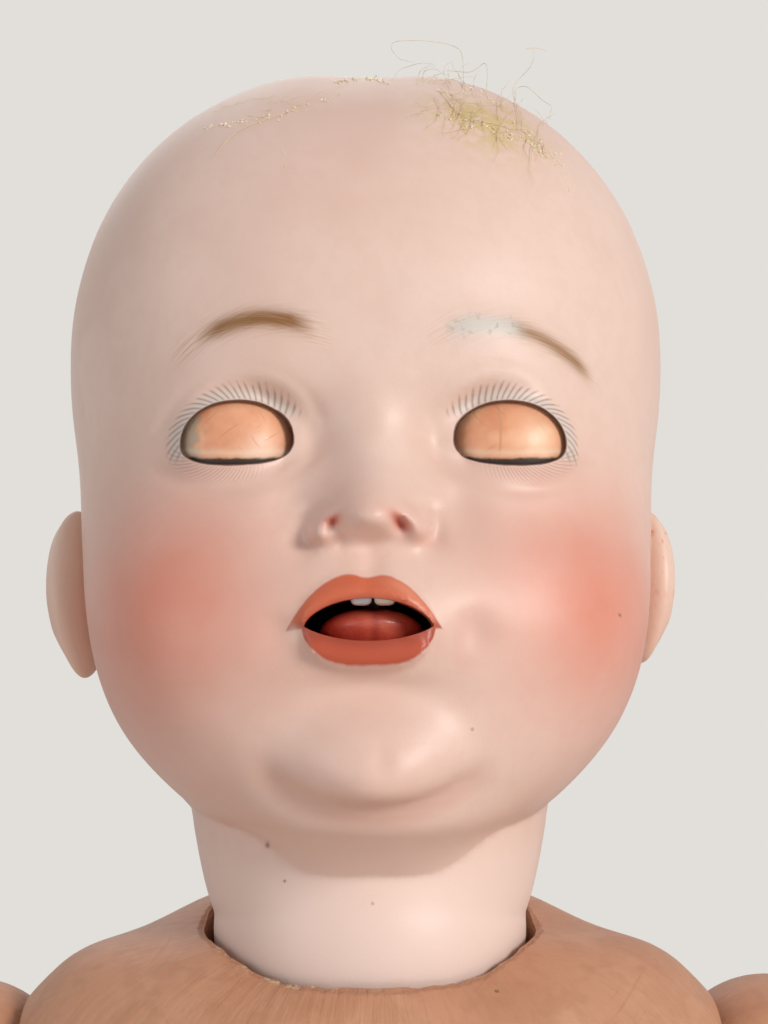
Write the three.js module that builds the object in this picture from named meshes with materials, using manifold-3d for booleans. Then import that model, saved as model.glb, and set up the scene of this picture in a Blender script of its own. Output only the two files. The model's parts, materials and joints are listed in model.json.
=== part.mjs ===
// Baby doll with a bisque socket head, sleeping glass eyes, an open mouth and a strung bent-limb body.
// Millimetres, Z up, the face looks along -Y, the doll's left is +X. The doll sits on the plane Z = 0.
import * as THREE from 'three';
import { mergeVertices } from 'three/addons/utils/BufferGeometryUtils.js';
import Module from 'manifold-3d';

const wasm = await Module();
wasm.setup();

// Running and resting clearances
const seat_gap = 0.3;
const cut_overrun = 60;
const seam_gap = 0.3;

// Head: sizes from the centre of the neck ball, before it is tipped back
const head_height = 195.5;
const head_half_width = 69;
const face_reach = 76;
const nape_reach = 75;
const ray_centre_forward = 6;
const ray_centre_up_share = 0.532;
const ray_centre_up = ray_centre_up_share * head_height;
const head_wall = 5.5;
const head_tip_back = THREE.MathUtils.degToRad(15);
const head_columns = 36;
const head_rows = 26;
const neck_columns = 20;
const neck_rows = 14;

// Neck ball, its cup in the body and the pieces that hold it
const neck_height = 225;
const neck_ball_radius = 35;
const neck_wall = 4.4;
const neck_flare = 6;
const neck_flare_height = 24;
const neck_hole_radius = 24;
const nape_groove_height = 12;
const liner_thickness = 1.4;
const cup_wall = 4;
const cup_hole_radius = 26;
const plug_bottom_drop = 24;
const plug_top_rise = 4;
const wire_radius = 1.5;
const washer_radius = 9;
const washer_thickness = 1.5;
const hook_drop = 50;
const hook_bend_radius = 6;

// Crown opening and pate
const crown_front_forward_share = 0.29;
const crown_front_up_share = 0.985;
const crown_front_forward = crown_front_forward_share * face_reach;
const crown_front_up = crown_front_up_share * head_height;
const crown_slope = THREE.MathUtils.degToRad(21);
const pate_thickness = 3.5;

// Ears
const ear_height = 39;
const ear_depth = 22;
const ear_thickness = 9;
const ear_forward = 6;
const ear_up_share = 0.384;
const ear_up = ear_up_share * head_height;
const ear_root_depth = 5;
const ear_root_out = head_half_width - ear_root_depth;
const ear_swing = THREE.MathUtils.degToRad(24);

// Sleeping eyes
const eye_radius = 14;
const eye_spacing_share = 0.812;
const eye_forward_share = 0.71;
const eye_up_share = 0.4835;
const eye_spacing = eye_spacing_share * head_half_width;
const eye_forward = eye_forward_share * face_reach;
const eye_up = eye_up_share * head_height;
const eye_rim_cover = 2.3;
const eye_opening_width = 2 * (eye_radius - eye_rim_cover);
const eye_opening_above_share = 0.485;
const eye_opening_below_share = 0.47;
const eye_opening_above = eye_opening_above_share * eye_radius;
const eye_opening_below = eye_opening_below_share * eye_radius;
const lid_thickness = 0.6;
const lid_below = THREE.MathUtils.degToRad(34);
const lid_above = THREE.MathUtils.degToRad(110);
const arm_rise_shut = THREE.MathUtils.degToRad(10);
const arm_drop_open = THREE.MathUtils.degToRad(65);
const bridge_radius = 1.6;
const bridge_inset = 2;
const weight_arm_radius = 1.3;
const weight_radius = 8;
const eye_seat_thickness = 4;
const stop_radius = 4;
const stop_dip = THREE.MathUtils.degToRad(50);

// Mouth, teeth and tongue
const mouth_width = 25;
const mouth_up_share = 0.275;
const mouth_up = mouth_up_share * head_height;
const mouth_above = 3.4;
const mouth_below = 3.5;
const weight_distance_share = 0.98;
const weight_distance = weight_distance_share * (eye_up - mouth_up);
const tooth_width = 4.1;
const tooth_spacing = 4.6;
const tooth_depth = 3;
const tooth_height = 5.4;
const tooth_show = 2;
const tooth_set_back = 3.4;
const tooth_forward = face_reach - tooth_set_back;
const tongue_width = 20;
const tongue_length = 18;
const tongue_height = 5;
const tongue_set_back = 13;
const tongue_below = 1.2;
const tongue_forward = face_reach - tongue_set_back;
const tongue_up = mouth_up - tongue_below;
const tongue_pitch = THREE.MathUtils.degToRad(8);
const spring_width = 4;
const spring_thickness = 0.8;
const pad_width = 12;
const pad_height = 9;
const pad_depth = 12;
const pad_rise = 22;
const pad_up = mouth_up + pad_rise;

// Body shell
const torso_half_width = 77;
const torso_half_depth = 64;
const torso_wall = 5;
const torso_columns = 24;
const torso_rows = 16;
const shoulder_face = 76;
const shoulder_clear_of_cup = 1;
const shoulder_drop = neck_ball_radius + shoulder_clear_of_cup;
const shoulder_height = neck_height - shoulder_drop;
const hip_face_x = 53.4;
const hip_slope = THREE.MathUtils.degToRad(14);
const string_hole_radius = 9;

// Limbs
const shoulder_ball_radius = 24;
const shoulder_ball_out = 14.5;
const elbow_radius = 18;
const wrist_radius = 12.5;
const upper_arm_length = 70;
const forearm_length = 62;
const palm_length = 30;
const palm_width = 26;
const palm_thickness = 15;
const finger_radius = 3.7;
const finger_length = 13;
const thigh_radius = 31;
const thigh_ball_out = 20;
const knee_radius = 25;
const ankle_radius = 15;
const thigh_length = 88;
const shin_length = 68;
const foot_length = 46;
const foot_width = 31;
const foot_height = 25;
const toe_radius = 5;

// Stringing
const plug_radius = 10;
const plug_length = 8;
const hook_wire_radius = 1.2;
const hook_ring_radius = 4.5;
const hook_reach = 15;
const elastic_radius = 1.8;
const elastic_loop_radius = 4.5;
const elastic_loop_wire = 1.6;
const elastic_step_aside = 5;

// Outline of the plain head as [reach, height] shares, from the crown down to the neck
const face_profile_shares = [
  [0, 1], [0.382, 0.98], [0.645, 0.91], [0.829, 0.813], [0.914, 0.711], [0.928, 0.624],
  [0.895, 0.542], [0.849, 0.486], [0.849, 0.419], [0.882, 0.353], [0.888, 0.286], [0.855, 0.22],
  [0.809, 0.159], [0.711, 0.102], [0.553, 0.056], [0.289, 0.015], [0, -0.01],
];
const nape_profile_shares = [
  [0, 1], [0.373, 0.98], [0.68, 0.916], [0.907, 0.818], [1.027, 0.706], [1.067, 0.588],
  [1.04, 0.486], [0.933, 0.384], [0.787, 0.292], [0.653, 0.205], [0.56, 0.113], [0.347, 0.026], [0, -0.01],
];
const temple_profile_shares = [
  [0, 1], [0.391, 0.981], [0.681, 0.921], [0.888, 0.829], [0.987, 0.721], [0.993, 0.614],
  [0.957, 0.522], [0.935, 0.435], [0.891, 0.338], [0.801, 0.24], [0.645, 0.159], [0.449, 0.077],
  [0.261, 0.015], [0, -0.01],
];
const head_squareness_share = 2.2;

// Swellings and hollows of the face, each side by side, forward, up, wide, above, below and rise
const face_form_shares = {
  cheek: [0.58, 0.658, 0.307, 0.348, 0.123, 0.133, 0.099],
  chin: [0, 0.868, 0.153, 0.203, 0.046, 0.041, 0.092],
  jowl: [0, 0.724, 0.066, 0.522, 0.036, 0.041, 0.066],
  muzzle: [0, 0.974, 0.297, 0.246, 0.056, 0.051, 0.053],
  bridge: [0, 0.921, 0.471, 0.101, 0.056, 0.061, 0.032],
  nose: [0, 1.026, 0.409, 0.116, 0.046, 0.028, 0.079],
  nose_tip: [0, 1.105, 0.399, 0.11, 0.03, 0.029, 0.092],
  nose_wing: [0.133, 1.026, 0.38, 0.058, 0.025, 0.021, 0.059],
  nose_side: [0.246, 0.947, 0.399, 0.065, 0.041, 0.041, -0.021],
  eye_corner: [0.21, 0.947, 0.476, 0.094, 0.041, 0.036, -0.055],
  brow: [0.391, 0.974, 0.583, 0.261, 0.031, 0.031, 0.016],
  eye_lid: [0.42, 0.921, 0.486, 0.188, 0.056, 0.051, 0.055],
  under_lip: [0, 0.974, 0.212, 0.188, 0.018, 0.016, -0.029],
  lips: [0, 1, 0.275, 0.2, 0.026, 0.026, 0.026],
};
const form_depth_share = 0.395;
const face_crowding_share = 0.45;
const face_height_crowding_share = 0.3;
const face_centre_elevation = THREE.MathUtils.degToRad(-20);

// Outline of the body shell as [reach, height] shares of its half width, half depth and neck height
const flank_profile_shares = [
  [0, 1.015], [0.45, 0.985], [0.65, 0.964], [0.86, 0.936], [1.02, 0.9], [1.05, 0.84], [1, 0.76],
  [0.9, 0.62], [0.89, 0.49], [0.91, 0.38], [0.88, 0.27], [0.78, 0.13], [0.57, 0.044], [0.26, -0.018], [0, -0.027],
];
const belly_profile_shares = [
  [0, 1.015], [0.5, 0.983], [0.64, 0.957], [0.79, 0.89], [0.87, 0.78], [0.86, 0.67], [0.91, 0.53],
  [1, 0.4], [1, 0.29], [0.91, 0.155], [0.69, 0.044], [0.34, -0.018], [0, -0.027],
];
const spine_profile_shares = [
  [0, 1.003], [0.53, 0.992], [0.67, 0.97], [0.8, 0.91], [0.87, 0.8], [0.81, 0.67], [0.75, 0.53],
  [0.78, 0.4], [0.87, 0.27], [0.87, 0.155], [0.72, 0.053], [0.34, -0.013], [0, -0.027],
];
const torso_squareness_share = 2.3;
const torso_centre_share = 0.47;

// Colours as in the photograph
const finish = (colour, roughness, metalness = 0) =>
  new THREE.MeshStandardMaterial({ color: colour, roughness, metalness });
const bisque = () => finish('#e8cdbd', 0.55);
const composition = () => finish('#d9ac86', 0.5);
const plaster = () => finish('#e6e2d8', 0.9);
const steel = () => finish('#8d8f92', 0.4, 1);
const beech = () => finish('#b98d5c', 0.7);
const elastic_cotton = () => finish('#e4ddcc', 0.9);

const doll = new THREE.Group();
const cutter_size = 3 * (neck_height + head_height);

// Solid of a closed geometry
function solid(geometry) {
  const bare = geometry.clone();
  bare.deleteAttribute('normal');
  bare.deleteAttribute('uv');
  const merged = mergeVertices(bare);
  const vertProperties = new Float32Array(merged.attributes.position.array);
  const triVerts = new Uint32Array(merged.index.array);
  return new wasm.Manifold(new wasm.Mesh({ numProp: 3, vertProperties, triVerts }));
}

function geometryOf(body) {
  const { vertProperties, triVerts, numProp } = body.getMesh();
  const places = new Float32Array((vertProperties.length / numProp) * 3);
  for (let i = 0; i < places.length / 3; i++) {
    places.set(vertProperties.subarray(i * numProp, i * numProp + 3), i * 3);
  }
  const geometry = new THREE.BufferGeometry();
  geometry.setAttribute('position', new THREE.BufferAttribute(places, 3));
  geometry.setIndex(new THREE.BufferAttribute(new Uint32Array(triVerts), 1));
  geometry.computeVertexNormals();
  return geometry;
}

function addPiece(group, name, body, material) {
  const mesh = new THREE.Mesh(geometryOf(body), material);
  mesh.name = name;
  group.add(mesh);
  return mesh;
}

// Plain solids at a place
function ball(radius, at, columns = 24, rows = 16) {
  const geometry = new THREE.SphereGeometry(radius, columns, rows);
  geometry.rotateX(Math.PI / 2);
  geometry.translate(at.x, at.y, at.z);
  return solid(geometry);
}

// Ball cutter whose flats, and not its corners, lie at the radius
function hollowBall(radius, at, columns, rows) {
  const flats_share = Math.cos(Math.PI / columns) * Math.cos(Math.PI / (2 * rows));
  return ball(radius / flats_share, at, columns, rows);
}

// Rod cutter whose flats lie at the radius
function bore(radius, from, to, sides) {
  return rod(radius / Math.cos(Math.PI / sides), from, to, sides);
}

function egg(radii, turn, at, columns = 16, rows = 12) {
  const geometry = new THREE.SphereGeometry(1, columns, rows);
  geometry.scale(radii.x, radii.y, radii.z);
  geometry.applyQuaternion(turn);
  geometry.translate(at.x, at.y, at.z);
  return solid(geometry);
}

// Turn that points Y along a direction and keeps X as near as it can be to the X axis
function facing(direction) {
  const across = new THREE.Vector3(1, 0, 0).addScaledVector(direction, -direction.x).normalize();
  const over = new THREE.Vector3().crossVectors(across, direction);
  return new THREE.Quaternion().setFromRotationMatrix(new THREE.Matrix4().makeBasis(across, direction, over));
}

function block(low, high) {
  const size = high.clone().sub(low);
  const middle = low.clone().add(high).multiplyScalar(0.5);
  const geometry = new THREE.BoxGeometry(size.x, size.y, size.z);
  geometry.translate(middle.x, middle.y, middle.z);
  return solid(geometry);
}

function rod(radius, from, to, sides = 16) {
  const along = to.clone().sub(from);
  const geometry = new THREE.CylinderGeometry(radius, radius, along.length(), sides);
  const turn = new THREE.Quaternion().setFromUnitVectors(new THREE.Vector3(0, 1, 0), along.clone().normalize());
  geometry.applyQuaternion(turn);
  const middle = from.clone().add(to).multiplyScalar(0.5);
  geometry.translate(middle.x, middle.y, middle.z);
  return solid(geometry);
}

// Everything on the far side of a plane, as one large turned box
function beyond(point, normal) {
  const size = cutter_size;
  const geometry = new THREE.BoxGeometry(size, size, size);
  geometry.translate(0, size / 2, 0);
  const turn = new THREE.Quaternion().setFromUnitVectors(new THREE.Vector3(0, 1, 0), normal);
  geometry.applyQuaternion(turn);
  geometry.translate(point.x, point.y, point.z);
  return solid(geometry);
}

// Wire or cord along a curve, closed at both ends
function wire(curve, radius, sides, steps) {
  const section = new THREE.Shape();
  for (let i = 0; i < sides; i++) {
    const angle = (i / sides) * Math.PI * 2;
    const spot = [radius * Math.cos(angle), radius * Math.sin(angle)];
    if (i === 0) section.moveTo(...spot);
    else section.lineTo(...spot);
  }
  const geometry = new THREE.ExtrudeGeometry(section, { steps, extrudePath: curve, bevelEnabled: false });
  return solid(geometry);
}

// Ring with its axis along a direction
function ring(centre, axis, radius, thickness, sides = 6, around = 12) {
  const geometry = new THREE.TorusGeometry(radius, thickness, sides, around);
  geometry.applyQuaternion(new THREE.Quaternion().setFromUnitVectors(new THREE.Vector3(0, 0, 1), axis));
  geometry.translate(centre.x, centre.y, centre.z);
  return solid(geometry);
}

// Distance from the ray centre to a profile, as a smooth curve over the elevation
function profileCurve(shares, reach, height, centre) {
  const knots = shares.map(([out, up]) => {
    const rise = up * height - centre;
    return { angle: Math.atan2(rise, out * reach), distance: Math.hypot(rise, out * reach) };
  });
  knots.sort((a, b) => a.angle - b.angle);
  const slopes = knots.map((knot, i) => {
    if (i === 0 || i === knots.length - 1) return 0;
    return (knots[i + 1].distance - knots[i - 1].distance) / (knots[i + 1].angle - knots[i - 1].angle);
  });
  return (angle) => {
    let i = 0;
    while (i < knots.length - 2 && angle > knots[i + 1].angle) i++;
    const span = knots[i + 1].angle - knots[i].angle;
    const t = (angle - knots[i].angle) / span;
    const start = (2 * t ** 3 - 3 * t ** 2 + 1) * knots[i].distance + (t ** 3 - 2 * t ** 2 + t) * span * slopes[i];
    const end = (3 * t ** 2 - 2 * t ** 3) * knots[i + 1].distance + (t ** 3 - t ** 2) * span * slopes[i + 1];
    return start + end;
  };
}

// Rounded form from a front, a back and a side profile, seen from one centre
function roundedForm(front, back, side, squareness) {
  return (direction) => {
    const angle = Math.asin(THREE.MathUtils.clamp(direction.z, -1, 1));
    const around = Math.atan2(direction.x, -direction.y);
    const ahead = Math.cos(around);
    const aside = Math.abs(Math.sin(around));
    const lengthwise = ahead > 0 ? front(angle) : back(angle);
    const part = (Math.abs(ahead) / lengthwise) ** squareness + (aside / side(angle)) ** squareness;
    return part ** (-1 / squareness);
  };
}

// Closed surface whose points lie at a distance along each ray, with rays crowded by a warp
function raySurface(centre, distance, columns, rows, warp = (direction) => direction) {
  const geometry = new THREE.SphereGeometry(1, columns, rows);
  geometry.rotateX(Math.PI / 2);
  const places = geometry.attributes.position;
  const direction = new THREE.Vector3();
  for (let i = 0; i < places.count; i++) {
    direction.fromBufferAttribute(places, i).normalize();
    const ray = warp(direction.clone());
    const point = ray.clone().multiplyScalar(distance(ray)).add(centre);
    places.setXYZ(i, point.x, point.y, point.z);
  }
  return solid(geometry);
}

// Head

const ray_centre = new THREE.Vector3(0, -ray_centre_forward, ray_centre_up);
const plainHead = roundedForm(
  profileCurve(face_profile_shares, face_reach, head_height, ray_centre_up),
  profileCurve(nape_profile_shares, nape_reach, head_height, ray_centre_up),
  profileCurve(temple_profile_shares, head_half_width, head_height, ray_centre_up),
  head_squareness_share,
);

function faceRise(point) {
  let rise = 0;
  for (const [aside, forward, up, wide, above, below, height] of Object.values(face_form_shares)) {
    const dz = point.z - up * head_height;
    const tall = (dz > 0 ? above : below) * head_height;
    const dy = (-point.y - forward * face_reach) / (form_depth_share * face_reach);
    const sides = aside > 0 ? [1, -1] : [0];
    for (const hand of sides) {
      const dx = (point.x - hand * aside * head_half_width) / (wide * head_half_width);
      rise += height * face_reach * Math.exp(-(dx ** 2) - dy ** 2 - (dz / tall) ** 2);
    }
  }
  return rise;
}

function headDistance(direction) {
  const distance = plainHead(direction);
  const point = direction.clone().multiplyScalar(distance).add(ray_centre);
  return distance + faceRise(point);
}

function towardFace(direction) {
  const around = Math.atan2(direction.x, -direction.y);
  const up = Math.asin(THREE.MathUtils.clamp(direction.z, -1, 1));
  const turned = around - face_crowding_share * Math.sin(around);
  const raised = up - face_height_crowding_share * Math.sin(up - face_centre_elevation) * Math.cos(up);
  const flat = Math.cos(raised);
  return new THREE.Vector3(flat * Math.sin(turned), -flat * Math.cos(turned), Math.sin(raised));
}

function headForm() {
  return raySurface(ray_centre, headDistance, head_columns, head_rows, towardFace);
}

// Inside of the head, at a depth below the plain surface
function headHollow(depth) {
  return raySurface(ray_centre, (ray) => plainHead(ray) - depth, head_columns / 2, head_rows / 2);
}

// Neck: a ball below, then a flare into the jaw that starts higher at the nape
function neckForm() {
  const geometry = new THREE.SphereGeometry(1, neck_columns, neck_rows);
  geometry.rotateX(Math.PI / 2);
  const places = geometry.attributes.position;
  const lid_share = 0.15;
  for (let i = 0; i < places.count; i++) {
    const around = Math.atan2(places.getX(i), -places.getY(i));
    const share = Math.acos(THREE.MathUtils.clamp(places.getZ(i), -1, 1)) / Math.PI;
    const nape = ((1 - Math.cos(around)) / 2) ** 2;
    const start = nape * nape_groove_height;
    let up = neck_flare_height * THREE.MathUtils.clamp((0.5 - share) / (0.5 - lid_share), 0, 1);
    let out = neckReach(up, start);
    if (share < lid_share) out *= share / lid_share;
    if (share > 0.5) {
      out = neck_ball_radius * Math.sin(share * Math.PI);
      up = neck_ball_radius * Math.cos(share * Math.PI);
    }
    places.setXYZ(i, out * Math.sin(around), -out * Math.cos(around), up);
  }
  return solid(geometry);
}

function neckReach(up, start) {
  const at_start = Math.sqrt(neck_ball_radius ** 2 - start ** 2);
  if (up <= start) return Math.sqrt(neck_ball_radius ** 2 - up ** 2);
  const share = (up - start) / (neck_flare_height - start);
  return at_start + neck_flare * Math.sin((share * Math.PI) / 2);
}

function earForm(side) {
  const radii = new THREE.Vector3(ear_depth / 2, ear_thickness / 2, ear_height / 2);
  const turn = new THREE.Quaternion().setFromEuler(new THREE.Euler(0, 0, side * ear_swing));
  return egg(radii, turn, new THREE.Vector3(side * ear_root_out, -ear_forward, ear_up), 10, 8);
}

const crown_point = new THREE.Vector3(0, -crown_front_forward, crown_front_up);
const crown_normal = new THREE.Vector3(0, Math.sin(crown_slope), Math.cos(crown_slope));

// Opening with a half ellipse above and another below its middle line, cut forward through the face
function faceOpening(x, up, width, above, below, from) {
  const outline = new THREE.Shape();
  outline.absellipse(0, 0, width / 2, above, 0, Math.PI, false, 0);
  outline.absellipse(0, 0, width / 2, below, Math.PI, Math.PI * 2, false, 0);
  const geometry = new THREE.ExtrudeGeometry(outline, { depth: cut_overrun, bevelEnabled: false, curveSegments: 10 });
  geometry.rotateX(Math.PI / 2);
  geometry.translate(x, -from, up);
  return solid(geometry);
}

const eye_clearance = eye_radius + seat_gap + lid_thickness + seat_gap;
const eyePlace = (side) => new THREE.Vector3((side * eye_spacing) / 2, -eye_forward, eye_up);
const tooth_top = mouth_up + mouth_above - tooth_show + tooth_height;

function toothPocket() {
  const wide = (tooth_spacing + tooth_width) / 2 + seat_gap;
  const low = new THREE.Vector3(-wide, -tooth_forward - tooth_depth / 2 - seat_gap, mouth_up);
  const high = new THREE.Vector3(wide, -tooth_forward + tooth_depth / 2 + seat_gap, tooth_top + seat_gap);
  return block(low, high);
}

function headShell() {
  let head = headForm().add(neckForm()).add(earForm(1)).add(earForm(-1));
  const bore_radius = neck_ball_radius - neck_wall;
  head = head.subtract(headHollow(head_wall));
  head = head.subtract(hollowBall(bore_radius, new THREE.Vector3(), 20, 12));
  head = head.subtract(bore(bore_radius, new THREE.Vector3(), new THREE.Vector3(0, 0, neck_flare_height), 20));
  head = head.subtract(
    rod(neck_hole_radius, new THREE.Vector3(0, 0, -neck_ball_radius - cut_overrun), new THREE.Vector3(), 20),
  );
  head = head.subtract(beyond(crown_point, crown_normal));
  for (const side of [1, -1]) {
    const place = eyePlace(side);
    head = head.subtract(hollowBall(eye_clearance, place, 16, 12));
    head = head.subtract(
      faceOpening(place.x, eye_up, eye_opening_width, eye_opening_above, eye_opening_below, eye_forward),
    );
  }
  head = head.subtract(faceOpening(0, mouth_up, mouth_width, mouth_above, mouth_below, tongue_forward));
  return head.subtract(toothPocket());
}

function pateShell() {
  const lifted = crown_point.clone().addScaledVector(crown_normal, seat_gap);
  const cap = headForm().intersect(beyond(lifted, crown_normal));
  return cap.subtract(headHollow(pate_thickness));
}

// Eye mechanism, drawn about the eye axis with the weight arm level, then turned to where it sleeps
function buildEyes(head) {
  const moving = new THREE.Group();
  moving.position.set(0, -eye_forward, eye_up);
  moving.rotation.x = arm_rise_shut;
  head.add(moving);
  const bridge_back = eye_radius - bridge_inset;
  const bridge_from = new THREE.Vector3(-eye_spacing / 2 - eye_radius / 3, bridge_back, 0);
  const bridge_to = bridge_from.clone().setX(-bridge_from.x);
  const lid_inner = eye_radius + seat_gap;
  const lid_outer = lid_inner + lid_thickness;
  for (const [name, side] of [['left', 1], ['right', -1]]) {
    const place = new THREE.Vector3((side * eye_spacing) / 2, 0, 0);
    const socket = bore(bridge_radius + seat_gap, bridge_from.clone().setX(side * eye_radius / 2),
      bridge_to.clone().setX(side * (eye_spacing / 2 + eye_radius)), 10);
    addPiece(moving, `eye_${name}`, ball(eye_radius, place, 16, 10).subtract(socket), finish('#c9c6c0', 0.08));
    const shell = ball(lid_outer, place, 16, 10).subtract(ball(lid_inner, place, 16, 10));
    addPiece(moving, `lid_${name}`, shell.intersect(lidWedge(place, lid_outer)), finish('#e3a784', 0.45));
  }
  addPiece(moving, 'eye_bridge', rod(bridge_radius, bridge_from, bridge_to, 10), steel());
  const arm_from = new THREE.Vector3(0, bridge_back + bridge_radius + seat_gap, 0);
  const arm_to = new THREE.Vector3(0, weight_distance - weight_radius - seat_gap, 0);
  addPiece(moving, 'weight_arm', rod(weight_arm_radius, arm_from, arm_to, 10), steel());
  const weight = ball(weight_radius, new THREE.Vector3(0, weight_distance, 0), 12, 8);
  addPiece(moving, 'lead_weight', weight, finish('#5d6066', 0.6, 1));
}

// Sector about the eye axis that a lid covers
function lidWedge(place, radius) {
  const outline = new THREE.Shape();
  const steps = 6;
  outline.moveTo(0, 0);
  for (let i = 0; i <= steps; i++) {
    const angle = -lid_below + ((lid_above + lid_below) * i) / steps;
    outline.lineTo(2 * radius * Math.cos(angle), 2 * radius * Math.sin(angle));
  }
  const geometry = new THREE.ExtrudeGeometry(outline, { depth: 2 * radius, bevelEnabled: false });
  geometry.translate(0, 0, -radius);
  const basis = new THREE.Matrix4().makeBasis(
    new THREE.Vector3(0, -1, 0), new THREE.Vector3(0, 0, 1), new THREE.Vector3(-1, 0, 0));
  geometry.applyMatrix4(basis);
  geometry.translate(place.x, place.y, place.z);
  return solid(geometry);
}

// Plaster and cork that are glued to the inside of the head
function buildHeadFixings(head) {
  const room = headHollow(head_wall + seat_gap);
  for (const [name, side] of [['left', 1], ['right', -1]]) {
    const place = eyePlace(side);
    const outside = beyond(place, new THREE.Vector3(side, 0, 0));
    const lump = ball(eye_clearance + eye_seat_thickness, place, 16, 12).intersect(room).intersect(outside)
      .subtract(hollowBall(eye_clearance, place, 16, 12));
    addPiece(head, `eye_seat_${name}`, lump, plaster());
  }
  const arm_angle = arm_drop_open;
  const weight_back = weight_distance * Math.cos(arm_angle);
  const weight_down = weight_distance * Math.sin(arm_angle);
  const weight_open = new THREE.Vector3(0, -eye_forward + weight_back, eye_up - weight_down);
  const stop_direction = new THREE.Vector3(0, -Math.cos(stop_dip), -Math.sin(stop_dip));
  const stop_from = weight_open.clone().addScaledVector(stop_direction, weight_radius + seat_gap);
  const stop_to = stop_from.clone().addScaledVector(stop_direction, cut_overrun);
  addPiece(head, 'weight_stop', rod(stop_radius, stop_from, stop_to, 12).intersect(room), finish('#a9794a', 0.9));
  const pad_low = new THREE.Vector3(-pad_width / 2, -face_reach - cut_overrun, pad_up - pad_height / 2);
  const pad_high = new THREE.Vector3(pad_width / 2, -tongue_forward + tongue_length / 2 - spring_width, pad_up + pad_height / 2);
  addPiece(head, 'tongue_pad', block(pad_low, pad_high).intersect(room), plaster());
}

// Two upper teeth in their pocket and the tongue on its spring
function buildMouth(head) {
  for (const [name, side] of [['left', 1], ['right', -1]]) {
    const middle = new THREE.Vector3((side * tooth_spacing) / 2, -tooth_forward, tooth_top - tooth_height / 2);
    const half = new THREE.Vector3(tooth_width, tooth_depth, tooth_height).multiplyScalar(0.5);
    const root = block(middle.clone().sub(half).setZ(middle.z), middle.clone().add(half));
    const tip_radii = new THREE.Vector3(half.x, half.y, half.z);
    const tip = egg(tip_radii, new THREE.Quaternion(), middle.clone(), 8, 6);
    addPiece(head, `tooth_${name}`, root.add(tip), finish('#f3efe6', 0.2));
  }
  const turn = new THREE.Quaternion().setFromEuler(new THREE.Euler(-tongue_pitch, 0, 0));
  const radii = new THREE.Vector3(tongue_width / 2, tongue_length / 2, tongue_height / 2);
  const place = new THREE.Vector3(0, -tongue_forward, tongue_up);
  const spring_y = -tongue_forward + tongue_length / 4;
  const strip_low = new THREE.Vector3(-spring_width / 2, spring_y, tongue_up);
  const strip_high = new THREE.Vector3(spring_width / 2, spring_y + spring_thickness, pad_up - pad_height / 2 - seat_gap);
  const strip = block(strip_low, strip_high);
  const slot = block(strip_low.clone().subScalar(seat_gap), strip_high.clone().addScalar(seat_gap));
  addPiece(head, 'tongue', egg(radii, turn, place, 14, 10).subtract(slot), finish('#c4564a', 0.35));
  addPiece(head, 'tongue_spring', strip, steel());
}

// Head with everything that is glued or hung inside it
function buildHead() {
  const head = new THREE.Group();
  head.position.z = neck_height;
  head.rotation.x = -head_tip_back;
  doll.add(head);
  addPiece(head, 'head', headShell(), bisque());
  addPiece(head, 'pate', pateShell(), finish('#cbb795', 0.95));
  buildEyes(head);
  buildHeadFixings(head);
  buildMouth(head);
}

// Neck joint: wooden plug and hook inside the ball, leather liner between ball and cup
const liner_inner = neck_ball_radius + seat_gap;
const liner_outer = liner_inner + liner_thickness;
const cup_radius = liner_outer + seat_gap;
const plug_ball_radius = neck_ball_radius - neck_wall - seat_gap;

function buildNeckJoint() {
  const neck = new THREE.Group();
  neck.position.z = neck_height;
  doll.add(neck);
  const wide = neck_ball_radius + cut_overrun;
  const slab = block(new THREE.Vector3(-wide, -wide, -plug_bottom_drop), new THREE.Vector3(wide, wide, plug_top_rise));
  const wire_bore = bore(wire_radius + seat_gap, new THREE.Vector3(0, 0, -wide), new THREE.Vector3(0, 0, wide), 12);
  const plug = ball(plug_ball_radius, new THREE.Vector3(), 20, 12).intersect(slab).subtract(wire_bore);
  addPiece(neck, 'neck_plug', plug, beech());
  const washer_low = plug_top_rise;
  const washer_high = washer_low + washer_thickness;
  const washer = rod(washer_radius, new THREE.Vector3(0, 0, washer_low), new THREE.Vector3(0, 0, washer_high), 20);
  addPiece(neck, 'neck_washer', washer.subtract(wire_bore), steel());
  addPiece(neck, 'neck_hook', neckHook(washer_high), steel());
  const cuff_top = new THREE.Vector3(0, 0, -wire_radius * 4);
  const liner_bore = rod(cup_hole_radius, new THREE.Vector3(0, 0, -wide), cuff_top, 20);
  const liner = ball(liner_outer, new THREE.Vector3(), 20, 12).subtract(hollowBall(liner_inner, new THREE.Vector3(), 20, 12))
    .subtract(beyond(cuff_top, new THREE.Vector3(0, 0, 1))).subtract(liner_bore);
  addPiece(neck, 'neck_liner', liner, finish('#7a5a3c', 0.8));
}

// Hook that hangs from the washer, with a bend below for the elastic
function neckHook(top) {
  const shank = rod(wire_radius, new THREE.Vector3(0, 0, top + wire_radius * 2), new THREE.Vector3(0, 0, -hook_drop), 10);
  const head_low = new THREE.Vector3(0, 0, top + seat_gap);
  const knob = rod(wire_radius * 2.4, head_low, head_low.clone().setZ(top + wire_radius * 2), 12);
  const points = [];
  const steps = 8;
  for (let i = 0; i <= steps; i++) {
    const angle = (Math.PI * i) / steps;
    const y = hook_bend_radius - hook_bend_radius * Math.cos(angle);
    points.push(new THREE.Vector3(0, y, -hook_drop - hook_bend_radius * Math.sin(angle)));
  }
  points.push(new THREE.Vector3(0, hook_bend_radius * 2, -hook_drop + hook_bend_radius));
  points.unshift(new THREE.Vector3(0, 0, -hook_drop + hook_bend_radius));
  return shank.add(wire(new THREE.CatmullRomCurve3(points), wire_radius, 8, 10)).add(knob);
}

// Body shell

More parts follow.
